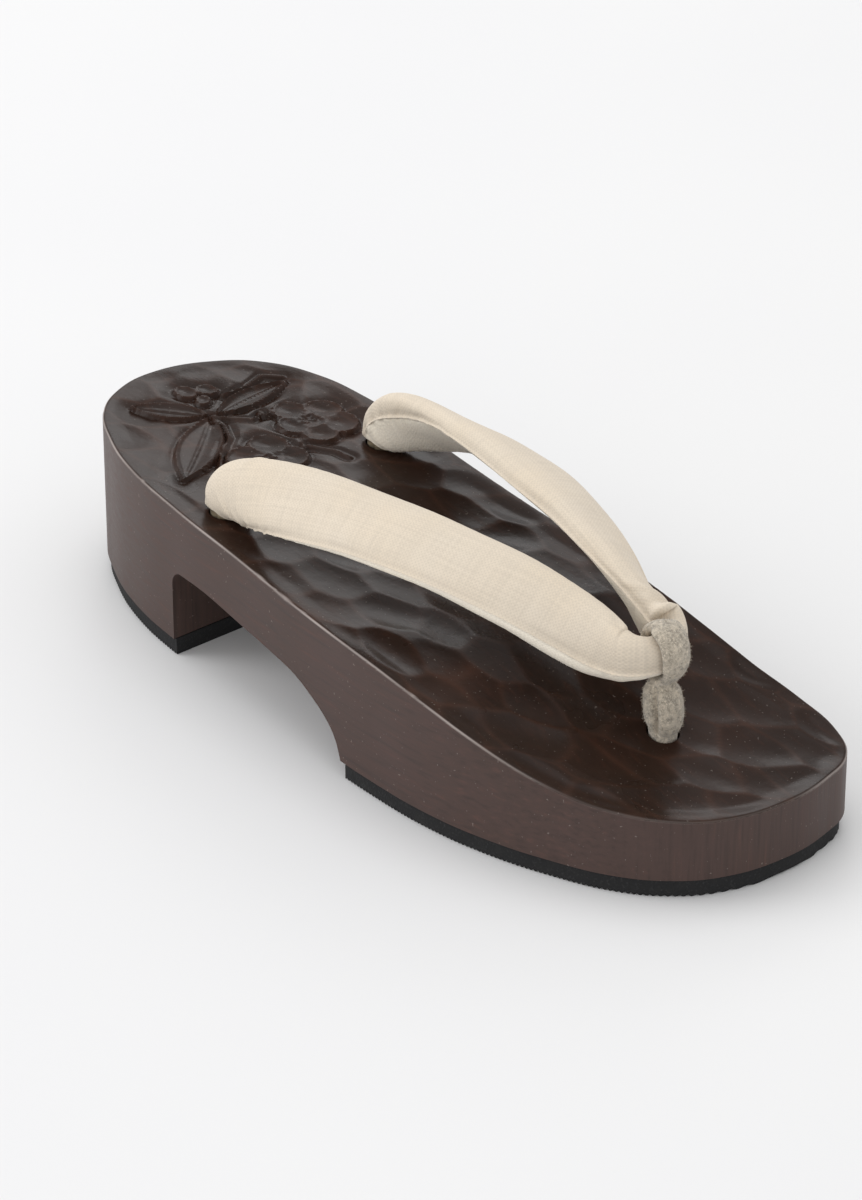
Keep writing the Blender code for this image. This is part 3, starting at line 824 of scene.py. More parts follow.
def carved_lacquer(settings):
    """Hand-carved wood under dark lacquer: near-black hollows, red-brown where crests are rubbed."""
    wood = new_material("carved_wood_dark_lacquer")
    add_node(wood, "along_base", "Mapping", {"Vector": PLACE, "Scale": (0.12, 1.0, 1.0)})
    add_node(wood, "grain", "TexNoise", {
        "Vector": ("along_base", "Vector"), "Scale": cells(CARVED_GRAIN),
        "Detail": 6, "Roughness": 0.6, "Distortion": 0.4})
    add_node(wood, "clouds", "TexNoise", {
        "Vector": PLACE, "Scale": cells(CARVED_CLOUDS), "Detail": 3, "Roughness": 0.55})
    add_node(wood, "specks", "TexNoise", {
        "Vector": PLACE, "Scale": cells(CARVED_DUST), "Detail": 1, "Roughness": 0.4})
    add_node(wood, "ripples", "TexNoise", {
        "Vector": PLACE, "Scale": cells(CARVED_RIPPLES), "Detail": 3, "Roughness": 0.55})
    add_node(wood, "crest_height", "Attribute", {}, attribute_name="crest")
    add_node(wood, "rim_wear_and_highlight", "Attribute", {}, attribute_name="wear_and_highlight")
    add_node(wood, "patches", "MapRange", {
        "Value": ("clouds", "Fac"), "From Min": 0.30, "From Max": 0.62, "To Min": 0.12, "To Max": 0.6})
    add_node(wood, "rubbed", "Math", {
        0: ("crest_height", "Fac"), 1: ("patches", "Result")}, operation="MULTIPLY")
    add_node(wood, "gloss", "MapRange", {
        "Value": ("clouds", "Fac"), "From Min": 0.3, "From Max": 0.7, "To Min": 0.25, "To Max": 0.34})
    add_node(wood, "grain_bump", "Bump", {"Height": ("grain", "Fac"), "Strength": 0.12, "Distance": 0.0003})
    add_node(wood, "ripple_bump", "Bump", {
        "Height": ("ripples", "Fac"), "Strength": 0.16, "Distance": 0.0006,
        "Normal": ("grain_bump", "Normal")})
    worn_and_highlit = lay_colours(wood, opaque(settings.top_colour), (
        ("hollows", ("clouds", "Fac"), 0.35, 0.70, 0, 1, linear("#2d1d16")),
        ("streaks", ("grain", "Fac"), 0.52, 0.78, 0, 0.45, linear("#3d2419")),
        ("crests", ("rubbed", "Value"), 0, 1, 0, 1, settings.crest_colour),
        ("dust", ("specks", "Fac"), 0.735, 0.765, 0, 0.55, linear("#6f6761")),
        # Rim line: rubbed wood with a painted highlight along the edge
        ("worn_and_highlit", ("rim_wear_and_highlight", "Fac"), 0, 1, 0, 1, settings.wear_and_highlight_colour),
    ))
    add_node(wood, SHADER, "BsdfPrincipled", {
        "Base Color": worn_and_highlit, "Roughness": ("gloss", "Result"), "Specular IOR Level": 0.10,
        "Coat Weight": 0.045, "Coat Roughness": 0.14, "Normal": ("ripple_bump", "Normal")})
    return wood


def satin_lacquer(settings):
    """Sawn and sanded sides under satin lacquer: a lighter brown with fine reddish streaks."""
    wood = new_material("sanded_wood_satin_lacquer")
    for way, stretch in (("along", (0.045, 1.0, 1.0)), ("upright", (1.0, 1.0, 0.05))):
        add_node(wood, way + "_base", "Mapping", {"Vector": PLACE, "Scale": stretch})
        add_node(wood, way, "TexNoise", {
            "Vector": (way + "_base", "Vector"), "Scale": cells(SAWN_GRAIN),
            "Detail": 5, "Roughness": 0.6, "Distortion": 0.3})
    # Grain stands upright on the faces across the base, where the plank's ends show
    add_node(wood, "surface", "NewGeometry", {})
    add_node(wood, "facing", "SeparateXYZ", {"Vector": ("surface", "Normal")})
    add_node(wood, "endways", "Math", {0: ("facing", "X")}, operation="ABSOLUTE")
    add_node(wood, "ends", "MapRange", {"Value": ("endways", "Value"), "From Min": 0.45, "From Max": 0.85})
    add_node(wood, "grain", "Mix", {
        "Factor": ("ends", "Result"), "A": ("along", "Fac"), "B": ("upright", "Fac")}, data_type="FLOAT")
    grain = ("grain", "Result")
    add_node(wood, "clouds", "TexNoise", {
        "Vector": PLACE, "Scale": cells(SAWN_CLOUDS), "Detail": 3, "Roughness": 0.55})
    add_node(wood, "specks", "TexNoise", {
        "Vector": PLACE, "Scale": cells(SAWN_DUST), "Detail": 1, "Roughness": 0.4})
    add_node(wood, "rim_wear_and_highlight", "Attribute", {}, attribute_name="wear_and_highlight")
    add_node(wood, "gloss", "MapRange", {
        "Value": grain, "From Min": 0.3, "From Max": 0.7, "To Min": 0.42, "To Max": 0.52})
    add_node(wood, "grain_bump", "Bump", {"Height": grain, "Strength": 0.14, "Distance": 0.0003})
    worn_and_highlit = lay_colours(wood, opaque(settings.wall_colour), (
        ("patches", ("clouds", "Fac"), 0.35, 0.68, 0, 1, linear("#46342f")),
        ("pores", grain, 0.50, 0.30, 0, 0.55, linear("#2f231f")),
        ("streaks", grain, 0.56, 0.80, 0, 0.6, linear("#5e4038")),
        ("dust", ("specks", "Fac"), 0.74, 0.77, 0, 0.5, linear("#857a73")),
        # Rim line: rubbed wood with a painted highlight along the edge
        ("worn_and_highlit", ("rim_wear_and_highlight", "Fac"), 0, 1, 0, 1, settings.wear_and_highlight_colour),
    ))
    add_node(wood, SHADER, "BsdfPrincipled", {
        "Base Color": worn_and_highlit, "Roughness": ("gloss", "Result"), "Specular IOR Level": 0.36,
        "Normal": ("grain_bump", "Normal")})
    return wood


def woven_cotton(name, colour, thread_pitch, contrast):
    """Plain-weave cotton: matt cloth whose crossing threads catch the light, with a few slubs.

    Real threads are about half as far apart, too fine to show, so they are drawn coarser.
    """
    cotton = new_material(name)
    add_node(cotton, "cloth", "UVMap", {}, uv_map="cloth")
    add_node(cotton, "ways", "SeparateXYZ", {"Vector": ("cloth", "UV")})
    add_node(cotton, "wobble", "TexNoise", {
        "Vector": PLACE, "Scale": cells(THREAD_WOBBLE), "Detail": 2, "Roughness": 0.55})
    add_node(cotton, "phase", "MapRange", {"Value": ("wobble", "Fac"), "To Min": -1.6, "To Max": 1.6})
    slub_scale = (cells(SLUB_LENGTH), cells(SLUB_BREADTH))
    for axis, stretch in (("X", (*slub_scale, 1)), ("Y", (*slub_scale[::-1], 1))):
        add_node(cotton, "turns_" + axis, "Math", {
            0: ("ways", axis), 1: math.pi / thread_pitch}, operation="MULTIPLY")
        add_node(cotton, "bent_" + axis, "Math", {
            0: ("turns_" + axis, "Value"), 1: ("phase", "Result")}, operation="ADD")
        add_node(cotton, "wave_" + axis, "Math", {0: ("bent_" + axis, "Value")}, operation="SINE")
        add_node(cotton, "stretch_" + axis, "Mapping", {"Vector": ("cloth", "UV"), "Scale": stretch})
        add_node(cotton, "slub_" + axis, "TexNoise", {
            "Vector": ("stretch_" + axis, "Vector"), "Scale": 1.0, "Detail": 3, "Roughness": 0.55})
    add_node(cotton, "crossing", "Math", {
        0: ("wave_X", "Value"), 1: ("wave_Y", "Value")}, operation="MULTIPLY")
    add_node(cotton, "weave", "MapRange", {
        "Value": ("crossing", "Value"), "From Min": -1, "From Max": 1})
    add_node(cotton, "slubs", "Math", {0: ("slub_X", "Fac"), 1: ("slub_Y", "Fac")}, operation="ADD")
    add_node(cotton, "clouds", "TexNoise", {
        "Vector": PLACE, "Scale": cells(COTTON_CLOUDS), "Detail": 3, "Roughness": 0.55})
    add_node(cotton, "weave_bump", "Bump", {
        "Height": ("weave", "Result"), "Strength": 0.35, "Distance": 0.00018})
    add_node(cotton, "slub_bump", "Bump", {
        "Height": ("slubs", "Value"), "Strength": 0.22, "Distance": 0.00022,
        "Normal": ("weave_bump", "Normal")})
    shade = shaded(colour, 0.80)
    toned = lay_colours(cotton, opaque(colour), (
        ("warmth", ("clouds", "Fac"), 0.35, 0.7, 0, 0.5, shaded(colour, 1.0, 0.955, 0.88)),
        ("between_threads", ("weave", "Result"), 0.55, 0.05, 0, contrast, shade),
        ("thick_threads", ("slubs", "Value"), 0.88, 1.22, 0, 0.50, shade),
    ))
    add_node(cotton, SHADER, "BsdfPrincipled", {
        "Base Color": toned, "Roughness": 0.92, "Specular IOR Level": 0.22, "Sheen Weight": 0.12,
        "Sheen Roughness": 0.5, "Normal": ("slub_bump", "Normal")})
    return cotton


def hemp_cord(settings):
    """Twisted hemp cord: matt tan with slanting strands, with painted shade in the grooves between them."""
    hemp = new_material("twisted_hemp_cord")
    add_node(hemp, "slant", "Mapping", {"Vector": PLACE, "Rotation": (0.6, 0.5, 0)})
    # A wave of scale 1 repeats after a twentieth of a full turn in radians
    add_node(hemp, "strands", "TexWave", {
        "Vector": ("slant", "Vector"), "Scale": cells(CORD_STRANDS) * math.pi / 10,
        "Distortion": 1.5, "Detail": 2}, bands_direction="Z")
    add_node(hemp, "strand_bump", "Bump", {
        "Height": ("strands", "Fac"), "Strength": 0.5, "Distance": 0.0004})
    # Painted shade: the grooves between strands are darkened to half the cord's colour
    twisted = lay_colours(hemp, opaque(shaded(settings.cord_colour, 0.5)), (
        ("strand_tops", ("strands", "Fac"), 0, 1, 0, 1, settings.cord_colour),
    ))
    add_node(hemp, SHADER, "BsdfPrincipled", {
        "Base Color": twisted, "Roughness": 0.9, "Normal": ("strand_bump", "Normal")})
    return hemp


def wool_felt(settings):
    """Pressed wool felt: mottled grey without a weave, soft and rough from its short fibres."""
    felt = new_material("pressed_wool_felt")
    add_node(felt, "fibres", "TexNoise", {
        "Vector": PLACE, "Scale": cells(FELT_FIBRES), "Detail": 4, "Roughness": 0.7, "Distortion": 1.2})
    add_node(felt, "clumps", "TexNoise", {
        "Vector": PLACE, "Scale": cells(FELT_CLUMPS), "Detail": 3, "Roughness": 0.6})
    add_node(felt, "clump_bump", "Bump", {
        "Height": ("clumps", "Fac"), "Strength": 0.6, "Distance": 0.0004})
    add_node(felt, "fibre_bump", "Bump", {
        "Height": ("fibres", "Fac"), "Strength": 0.7, "Distance": 0.0003,
        "Normal": ("clump_bump", "Normal")})
    mottled = lay_colours(felt, opaque(shaded(settings.felt_colour, 0.52)), (
        ("clump_tops", ("clumps", "Fac"), 0.38, 0.62, 0, 1, settings.felt_colour),
        ("light_fibres", ("fibres", "Fac"), 0.48, 0.66, 0, 1, shaded(settings.felt_colour, 1.45)),
    ))
    add_node(felt, SHADER, "BsdfPrincipled", {
        "Base Color": mottled, "Roughness": 0.97, "Specular IOR Level": 0.15, "Sheen Weight": 0.35,
        "Sheen Roughness": 0.6, "Normal": ("fibre_bump", "Normal")})
    return felt


def crepe_rubber(settings):
    """Moulded crepe rubber: dull black with a pebbled skin and grey dust in it."""
    rubber = new_material("moulded_crepe_rubber")
    add_node(rubber, "pebbles", "TexNoise", {
        "Vector": PLACE, "Scale": cells(RUBBER_PEBBLES), "Detail": 3, "Roughness": 0.6})
    add_node(rubber, "clouds", "TexNoise", {
        "Vector": PLACE, "Scale": cells(RUBBER_CLOUDS), "Detail": 3, "Roughness": 0.55})
    add_node(rubber, "pebble_bump", "Bump", {
        "Height": ("pebbles", "Fac"), "Strength": 0.5, "Distance": 0.0003})
    dusty = lay_colours(rubber, opaque(settings.rubber_colour), (
        ("pebble_tops", ("pebbles", "Fac"), 0.55, 0.75, 0, 0.5, linear("#3d3d3e")),
        ("dust", ("clouds", "Fac"), 0.5, 0.75, 0, 0.35, linear("#333230")),
    ))
    add_node(rubber, SHADER, "BsdfPrincipled", {
        "Base Color": dusty, "Roughness": 0.82, "Specular IOR Level": 0.35,
        "Normal": ("pebble_bump", "Normal")})
    return rubber


def pale_paper():
    """Matt paper sweep: a near-white ground with hardly any tone of its own."""
    paper = new_material("pale_paper_sweep")
    add_node(paper, "clouds", "TexNoise", {
        "Vector": PLACE, "Scale": cells(PAPER_CLOUDS), "Detail": 2, "Roughness": 0.55})
    toned = lay_colours(paper, opaque(linear("#e5e5e5")), (
        ("tone", ("clouds", "Fac"), 0.3, 0.7, 0, 1, linear("#e2e2e3")),
    ))
    add_node(paper, SHADER, "BsdfPrincipled", {
        "Base Color": toned, "Roughness": 0.85, "Specular IOR Level": 0.2})
    return paper


# Wooden base


def border_shares(count, border, span, dense_until=None, dense_count=0):
    """Shares from 0 to 1 with fine steps at both borders, and finer up to a share if asked."""
    edge = np.array((0, 0.14, 0.32, 0.55, 0.85, 1.25)) * 0.001 / span
    if dense_until:
        middle = np.concatenate([
            np.linspace(border, dense_until, dense_count, endpoint=False),
            np.linspace(dense_until, 1 - border, count - dense_count)])
    else:
        middle = np.linspace(border, 1 - border, count)
    return np.concatenate([edge, middle, 1 - edge[::-1]])


def base_sheet(settings):
    """The carved top as a fine sheet that fills the outline."""
    along = border_shares(320, 0.0085, LENGTH, 0.30, 150)
    across = border_shares(150, 0.024, WIDTH)
    flat = outline_sheet(along, across)
    inward = inward_distance(flat[..., 0], flat[..., 1])
    depth = carving(flat[..., 0] * 1000, flat[..., 1] * 1000,
                    settings.gouge_depth * 1000, settings.relief_depth * 1000)[0]
    depth = depth / 1000 * ease(inward, 0.0002, 0.0060)
    short = np.clip(EDGE_ROUNDING - inward, 0, EDGE_ROUNDING)
    depth += EDGE_ROUNDING - np.sqrt(EDGE_ROUNDING ** 2 - short ** 2)
    return np.dstack([flat, top_height(flat[..., 0]) - depth])


def arch_cutter():
    """What is sawn away between the heel block and the front block."""
    steps = np.linspace(0, math.pi / 2, 13)
    centre_x = HEEL_BLOCK_X + HEEL_FILLET
    centre_z = arch_height(centre_x) - HEEL_FILLET
    fillet_x = centre_x - HEEL_FILLET * np.cos(steps)
    fillet = np.column_stack([fillet_x, centre_z + HEEL_FILLET * np.sin(steps)])
    arch = np.column_stack([(ARCH_LINE[:, 0] - 0.5) * LENGTH, ARCH_LINE[:, 1] * HEEL_HEIGHT])
    arch = arch[arch[:, 0] > centre_x + HEEL_FILLET / 4]
    ends = np.array([(FRONT_BLOCK_X, WOOD_BOTTOM), (FRONT_BLOCK_X, 0), (HEEL_BLOCK_X, 0)])
    profile = np.vstack([fillet, arch, ends])
    near_side = np.full(len(profile), -WIDTH * 0.7)
    deselect()
    bpy.ops.mesh.primitive_circle_add(vertices=len(profile), radius=1, fill_type="NGON")
    piece = named("arch_cutter")
    set_points(piece, np.column_stack([profile[:, 0], near_side, profile[:, 1]]))
    bpy.ops.object.mode_set(mode="EDIT")
    bpy.ops.mesh.select_all(action="SELECT")
    bpy.ops.mesh.extrude_region_move(TRANSFORM_OT_translate={"value": (0, WIDTH * 1.4, 0)})
    close_edit()
    return piece


class GETA_OT_carved_base(bpy.types.Operator):
    """Model the wooden base with its carved top, arch and strap holes"""

    bl_idname = "geta.carved_base"
    bl_label = "Carved base"

    def execute(self, context):
        settings = context.scene.geta_base
        base = grid_piece("carved_base", base_sheet(settings))
        bpy.ops.object.mode_set(mode="EDIT")
        bpy.ops.mesh.select_mode(type="EDGE")
        bpy.ops.mesh.select_all(action="DESELECT")
        bpy.ops.mesh.select_non_manifold()
        for drop in RIM_DROPS:
            bpy.ops.mesh.extrude_region_move(TRANSFORM_OT_translate={"value": (0, 0, -drop)})
        bpy.ops.transform.resize(value=(1, 1, 0), center_override=(0, 0, WOOD_BOTTOM))
        bpy.ops.mesh.edge_face_add()
        close_edit()
        cut(base, arch_cutter())
        front, inner, outer = hole_places()
        for name, place in (("front_hole", front), ("inner_hole", inner), ("outer_hole", outer)):
            cut(base, drill(name, place, HOLE_RADIUS, DRILL_BOTTOM, DRILL_TOP))
        pocket_top = WOOD_BOTTOM + POCKET_DEPTH
        cut(base, drill("knot_pocket", front, POCKET_RADIUS, DRILL_BOTTOM, pocket_top))
        self.paint(base, settings)
        finish_piece(base, [carved_lacquer(settings), satin_lacquer(settings)], 38)
        middles, normals = faces_of(base)
        low = middles[:, 2] < top_height(middles[:, 0]) - WALL_BELOW
        walls = (normals[:, 2] < WALL_UPWARD) | low
        base.data.polygons.foreach_set("material_index", walls.astype(np.int32))
        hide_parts("dai")
        return {"FINISHED"}

    def paint(self, base, settings):
        """Mark the rubbed crests, and the rim line: rubbed wood with a painted highlight along it."""
        x, y, z = points_of(base).T
        crest = carving(x * 1000, y * 1000, settings.gouge_depth * 1000, settings.relief_depth * 1000)[1]
        below = top_height(x) - z
        set_attribute(base, "crest", crest * (below < 0.003))
        inward = inward_distance(x, y)
        on_rim = 1 - ease(inward, settings.edge_wear_and_highlight * 0.35, settings.edge_wear_and_highlight)
        rim = on_rim * (1 - ease(below, 0.0002, 0.0007))
        patchy = 0.78 + 0.22 * np.sin(x * 190) * np.sin(x * 71 + 1.3)
        # Painted highlight: the line fades towards the toe's front, except on the inner side
        shown = 1 - 0.8 * ease(x, 0.060, 0.088) * (1 - ease(y, 0.010, 0.030))
        wear_and_highlight = rim * patchy * shown
        for along, half_length, reach in CHIP_ROWS:
            chip = ridge(x * 1000 - along, half_length) * (y < 0)
            edge = (1 - ease(inward, 0.0003, reach / 1000)) * (1 - ease(below, 0.0003, reach / 1000))
            wear_and_highlight = np.maximum(wear_and_highlight, 0.7 * chip * edge)
        set_attribute(base, "wear_and_highlight", wear_and_highlight)


# Rubber treads


class GETA_OT_ribbed_treads(bpy.types.Operator):
    """Model the two ribbed rubber treads"""

    bl_idname = "geta.ribbed_treads"
    bl_label = "Ribbed treads"

    def execute(self, context):
        settings = context.scene.geta_treads
        rubber = crepe_rubber(settings)
        loop = outline_loop(TREAD_INSET)
        heel = int(np.argmin(loop[:, 0]))
        toe = (int(np.argmax(loop[:, 0])) - heel) % len(loop)
        turned = np.roll(loop, -heel, axis=0)
        outer_side = turned[:toe + 1]
        inner_side = np.vstack([turned[toe:], turned[:1]])[::-1]
        heel_end = loop[:, 0].min() + 0.00005
        toe_end = loop[:, 0].max() - 0.00005
        spans = (
            ("heel_tread", "heel_rubber", heel_end, HEEL_BLOCK_X),
            ("front_tread", "front_rubber", FRONT_BLOCK_X + TREAD_INSET, toe_end),
        )
        for name, node, start, end in spans:
            count = int((end - start) / settings.rib_pitch * 4)
            x = np.linspace(start, end, count + 1)
            outer = np.interp(x, outer_side[:, 0], outer_side[:, 1])
            inner = np.interp(x, inner_side[:, 0], inner_side[:, 1])
            raised = settings.rib_depth * (np.arange(count + 1) % 4 > 1)
            edges = [np.column_stack([x, side, raised]) for side in (outer, inner)]
            tread = grid_piece(name, np.stack(edges, axis=1))
            bpy.ops.object.mode_set(mode="EDIT")
            bpy.ops.mesh.select_all(action="SELECT")
            thicken(0.001, TREAD_THICKNESS)
            if name == "front_tread":
                cut(tread, drill("tread_opening", hole_places()[0], POCKET_RADIUS, DRILL_BOTTOM, 0.01))
            finish_piece(tread, [rubber], 30)
            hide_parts(node)
        return {"FINISHED"}


# Padded strap


def bend_height():
    """Height of the middle of the strap's bend."""
    return top_height(FRONT_HOLE_X) + BEND_LIFT


def strap_sections():
    """Sections of one side, from the bend's middle to the rear seat: place, halves, turn, lean."""
    rows = []
    for step in range(4):
        angle = math.pi / 2 * step / 4
        share = (step / 4) ** 2
        rows.append((
            BEND_LENGTH * math.cos(angle) - BEND_BACK - BEND_LENGTH,
            BEND_SPREAD * math.sin(angle),
            bend_height(),
            BEND_HALF_HEIGHT + (BEND_END_HALF_HEIGHT - BEND_HALF_HEIGHT) * share,
            BEND_HALF_DEPTH + (BEND_END_HALF_DEPTH - BEND_HALF_DEPTH) * share,
            math.degrees(math.atan2(math.sin(angle) / BEND_SPREAD, math.cos(angle) / BEND_LENGTH)), 0))
    run = strap_frame()[3]
    seat = top_height(REAR_HOLES_X) + STRAP_SEAT_GAP
    rows.append((-BEND_BACK - BEND_LENGTH, BEND_SPREAD, bend_height(),
                 BEND_END_HALF_HEIGHT, BEND_END_HALF_DEPTH, 82, 4))
    for back, out, rise, width, thickness, turn, lean in STRAP_ROWS:
        rows.append((
            -run * back,
            BEND_SPREAD + (REAR_HOLE_SPREAD - BEND_SPREAD) * out,
            bend_height() + (seat - bend_height()) * back + STRAP_RISE * rise,
            STRAP_WIDTH / 2 * width, STRAP_THICKNESS / 2 * thickness, turn, lean))
    rows.append((-run, REAR_HOLE_SPREAD, seat, STRAP_SEAT_HALF_WIDTH, STRAP_SEAT_HALF_THICKNESS, 90, 0))
    return smooth_rows(rows, STRAP_STEPS)


def unit(vectors):
    """Directions of the vectors, each of length 1."""
    return vectors / np.linalg.norm(vectors, axis=-1, keepdims=True)


def part_shares(count, edge):
    """Shares across the cover or the lining, with fine steps beside both seams."""
    fine = np.array((0, 0.4, 0.9, 1.6, 2.6)) * edge
    return np.concatenate([fine, np.linspace(4 * edge, 1 - 4 * edge, count), 1 - fine[::-1]])


COVER_SHARES = part_shares(36, 0.010)
LINING_SHARES = part_shares(18, 0.018)
# Rings at each end of the strap that form its cord and knot
CORD_RINGS = 8
# Rear knot: shares of its depth and of its radius
KNOT_ROWS = ((0.08, 0.92), (0.25, 1.0), (0.70, 1.0), (0.92, 0.85), (1.0, 0.5))


def section_angles(sections):
    """Angles round each section from the lower seam over the cover and back under the lining."""
    run = strap_frame()[3]
    seams = smooth_rows(SEAM_ROWS, 8)
    back = np.clip(-sections[:, 0] / run, 0, 1)
    lower = np.interp(back, seams[:, 0], seams[:, 1])[:, None]
    upper = np.interp(back, seams[:, 0], seams[:, 2])[:, None] + 180
    cover = lower + (upper - lower) * COVER_SHARES
    lining = upper + (lower + 360 - upper) * LINING_SHARES[1:]
    return np.radians(np.hstack([cover, lining])), back


def ring_points(places, first, second, half_first, half_second, angles):
    """Rings of rounded sections, each round its place in the plane of two directions."""
    c = np.cos(angles)
    s = np.sin(angles)
    across = np.copysign(np.abs(c) ** (2 / SECTION_POWER), c) * half_first
    up = np.copysign(np.abs(s) ** (2 / SECTION_POWER), s) * half_second
    return places[:, None] + first[:, None] * across[..., None] + second[:, None] * up[..., None]


def strap_side(side):
    """Rings of one side of the strap in its own frame, and each point's share of the way back."""
    sections = strap_sections()
    angles, back = section_angles(sections)
    places = sections[:, :3]
    mirrored = places[1] * (1, -1, 1)
    before = np.vstack([mirrored, places[:-1]])
    after = np.vstack([places[1:], places[-1] - (0, 0, STRAP_SEAT_GAP)])
    tangent = unit(after - before)
    turn = np.radians(sections[:, 5])
    lean = np.radians(sections[:, 6])
    face = np.column_stack([np.cos(lean) * np.cos(turn), np.cos(lean) * np.sin(turn), np.sin(lean)])
    face = unit(face - tangent * np.sum(tangent * face, axis=1, keepdims=True))
    kept = np.interp(back, *np.array(UNDERSIDE_ROWS).T)[:, None]
    halves = sections[:, 4:5] * np.where(np.sin(angles) < 0, kept, 1)
    rings = ring_points(places, np.cross(tangent, face), face, sections[:, 3:4], halves, angles)
    knot_top = arch_height(REAR_HOLES_X) - 3 * CLEARANCE
    seat = places[-1, 2]
    cord_rows = [
        (seat - STRAP_SEAT_GAP / 3, CORD_RADIUS),
        ((seat + knot_top) / 2, CORD_RADIUS),
        (knot_top, CORD_RADIUS),
    ]
    for down, out in KNOT_ROWS:
        cord_rows.append((knot_top - REAR_KNOT_DEPTH * down, REAR_KNOT_RADIUS * out))
    centres = np.array([(places[-1, 0], REAR_HOLE_SPREAD, height) for height, _ in cord_rows])
    radii = np.array([radius for _, radius in cord_rows])[:, None]
    ahead = np.tile((1.0, 0, 0), (CORD_RINGS, 1))
    sideways = np.tile((0, 1.0, 0), (CORD_RINGS, 1))
    cord_angles = np.repeat(angles[-1:], CORD_RINGS, axis=0)
    cord = ring_points(centres, ahead, sideways, radii, radii, cord_angles)
    rings = rings + surface_normals(rings) * strap_relief(side, rings, angles, back)[..., None]
    rings = np.vstack([rings, cord])
    rings[..., 1] *= side
    return rings


def surface_normals(rings):
    """Outward directions of a table of rings."""
    along = np.gradient(rings, axis=0)
    closed = np.concatenate([rings[:, -2:-1], rings, rings[:, 1:2]], axis=1)
    around = closed[:, 2:] - closed[:, :-2]
    return unit(np.cross(around, along) + 1e-12)


def strap_relief(side, rings, angles, back):
    """How far each point of the strap stands out: seams, padding, puckers and creases."""
    settings = bpy.context.scene.geta_strap
    girth = walked_round(rings)
    upper = len(COVER_SHARES) - 1
    walked = walked_along(rings.mean(axis=1))[:, None]
    to_lower = np.minimum(girth, girth[:, -1:] - girth)
    to_upper = np.abs(girth - girth[:, upper:upper + 1])
    to_seam = np.minimum(to_lower, to_upper)
    lining = np.arange(rings.shape[1])[None] > upper

    # Sunk seam, the lining a little lower and the cover swelling beside it
    relief = -settings.seam_depth * ridge(to_seam, 0.00026)
    relief = relief - lining * 0.00030 * ease(to_seam, 0, 0.0006)
    relief = relief + ~lining * 0.00010 * ridge(to_seam - 0.0011, 0.0006)

    # Puckers that the stitches pull, strongest towards the rear and beside the bend
    phase = 1.7 if side > 0 else 0.4
    pucker = np.sin(walked / 0.00055 * 0.9 + phase + 1.4 * np.sin(walked / 0.0071))
    rear = 0.00036 * ease(back, 0.70, 0.86)[:, None]
    front = 0.00012 * (1 - ease(back, 0.05, 0.25))[:, None]
    reach = np.exp(-to_seam / 0.0016) * ease(to_seam, 0, 0.0005)
    relief = relief + (0.00007 + rear + front) * pucker * reach

    # Uneven wadding
    along_wave = np.sin(walked / 0.0062 + phase + 1.3 * np.sin(girth / 0.006))
    round_wave = np.sin(girth / 0.0051 + 0.6 * side + walked / 0.021)
    relief = relief + 0.00020 * ease(to_seam, 0.0002, 0.003) * along_wave * round_wave

    # Creases, each with a swell on both sides
    degrees = np.degrees(angles)
    for row_side, share, angle, slant, half_length, half_breadth, depth in CREASE_ROWS:
        if row_side != side:
            continue
        at = np.interp(share, back, walked[:, 0])
        nearest = int(np.argmin(np.abs(back - share)))
        start = np.interp(angle, degrees[nearest], girth[nearest])
        length_way, breadth_way = turned_axes(
            (walked - at) * 1000, (girth - start) * 1000, math.radians(slant))
        reach = ridge(length_way, half_length)
        mark = reach * ridge(breadth_way, half_breadth)
        swell = reach * ridge(np.abs(breadth_way) - 1.7 * half_breadth, half_breadth)
        relief = relief + (0.35 * swell - mark) * depth / 1000
    relief[:, -1] = relief[:, 0]
    return relief * ease(walked[-1:] - walked, 0.0, 0.002)


def on_strap_line(places):
    """Turn and move places from the strap's own frame onto the base."""
    front, back = strap_frame()[:2]
    c, s = -back[0], -back[1]
    turned = places.copy()
    turned[..., 0] = places[..., 0] * c - places[..., 1] * s + front[0]
    turned[..., 1] = places[..., 0] * s + places[..., 1] * c + front[1]
    return turned


class GETA_OT_padded_strap(bpy.types.Operator):
    """Model the padded strap with its cover, lining, seams, cords and knots"""

    bl_idname = "geta.padded_strap"
    bl_label = "Padded strap"

    def execute(self, context):
        settings = context.scene.geta_strap
        inner = strap_side(1)
        outer = strap_side(-1)
        middle = (inner[0] + outer[0]) / 2
        rings = on_strap_line(np.concatenate([outer[:0:-1], middle[None], inner[1:]]))
        u = walked_along(rings.mean(axis=1))[:, None] * np.ones(rings.shape[1])
        v = walked_round(rings)
        strap = grid_piece("padded_strap", rings, np.dstack([u, v]))
        pitch = settings.thread_pitch
        finish_piece(strap, [
            woven_cotton("plain_weave_cotton_cover", tuple(settings.cover_colour), pitch, 0.55),
            # The lining's colour carries painted light: brightened because it faces down
            woven_cotton("plain_weave_cotton_lining", tuple(settings.lining_colour_with_painted_light), pitch, 0.35),
            hemp_cord(settings)], 60)
        row, column = self.face_rows(strap, len(rings))
        from_end = np.minimum(row, len(rings) - 2 - row)
        kind = np.where(from_end < CORD_RINGS, 2, np.where(column < len(COVER_SHARES) - 1, 0, 1))
        strap.data.polygons.foreach_set("material_index", kind.astype(np.int32))
        merge_points(strap)
        close_ends(strap)
        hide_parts("hanao")
        return {"FINISHED"}

    def face_rows(self, strap, rows):
        """Ring and column of each face of the fresh grid, from its lowest point's number."""
        quads = corner_points(strap).reshape(-1, 4).min(axis=1)
        return quads % rows, quads // rows


# Felt thong


def closed_loft(name, rings):
    """A closed skin over a table of rings, each ring's last point repeating its first."""
    piece = grid_piece(name, rings)
    merge_points(piece)
    close_ends(piece)
    return piece


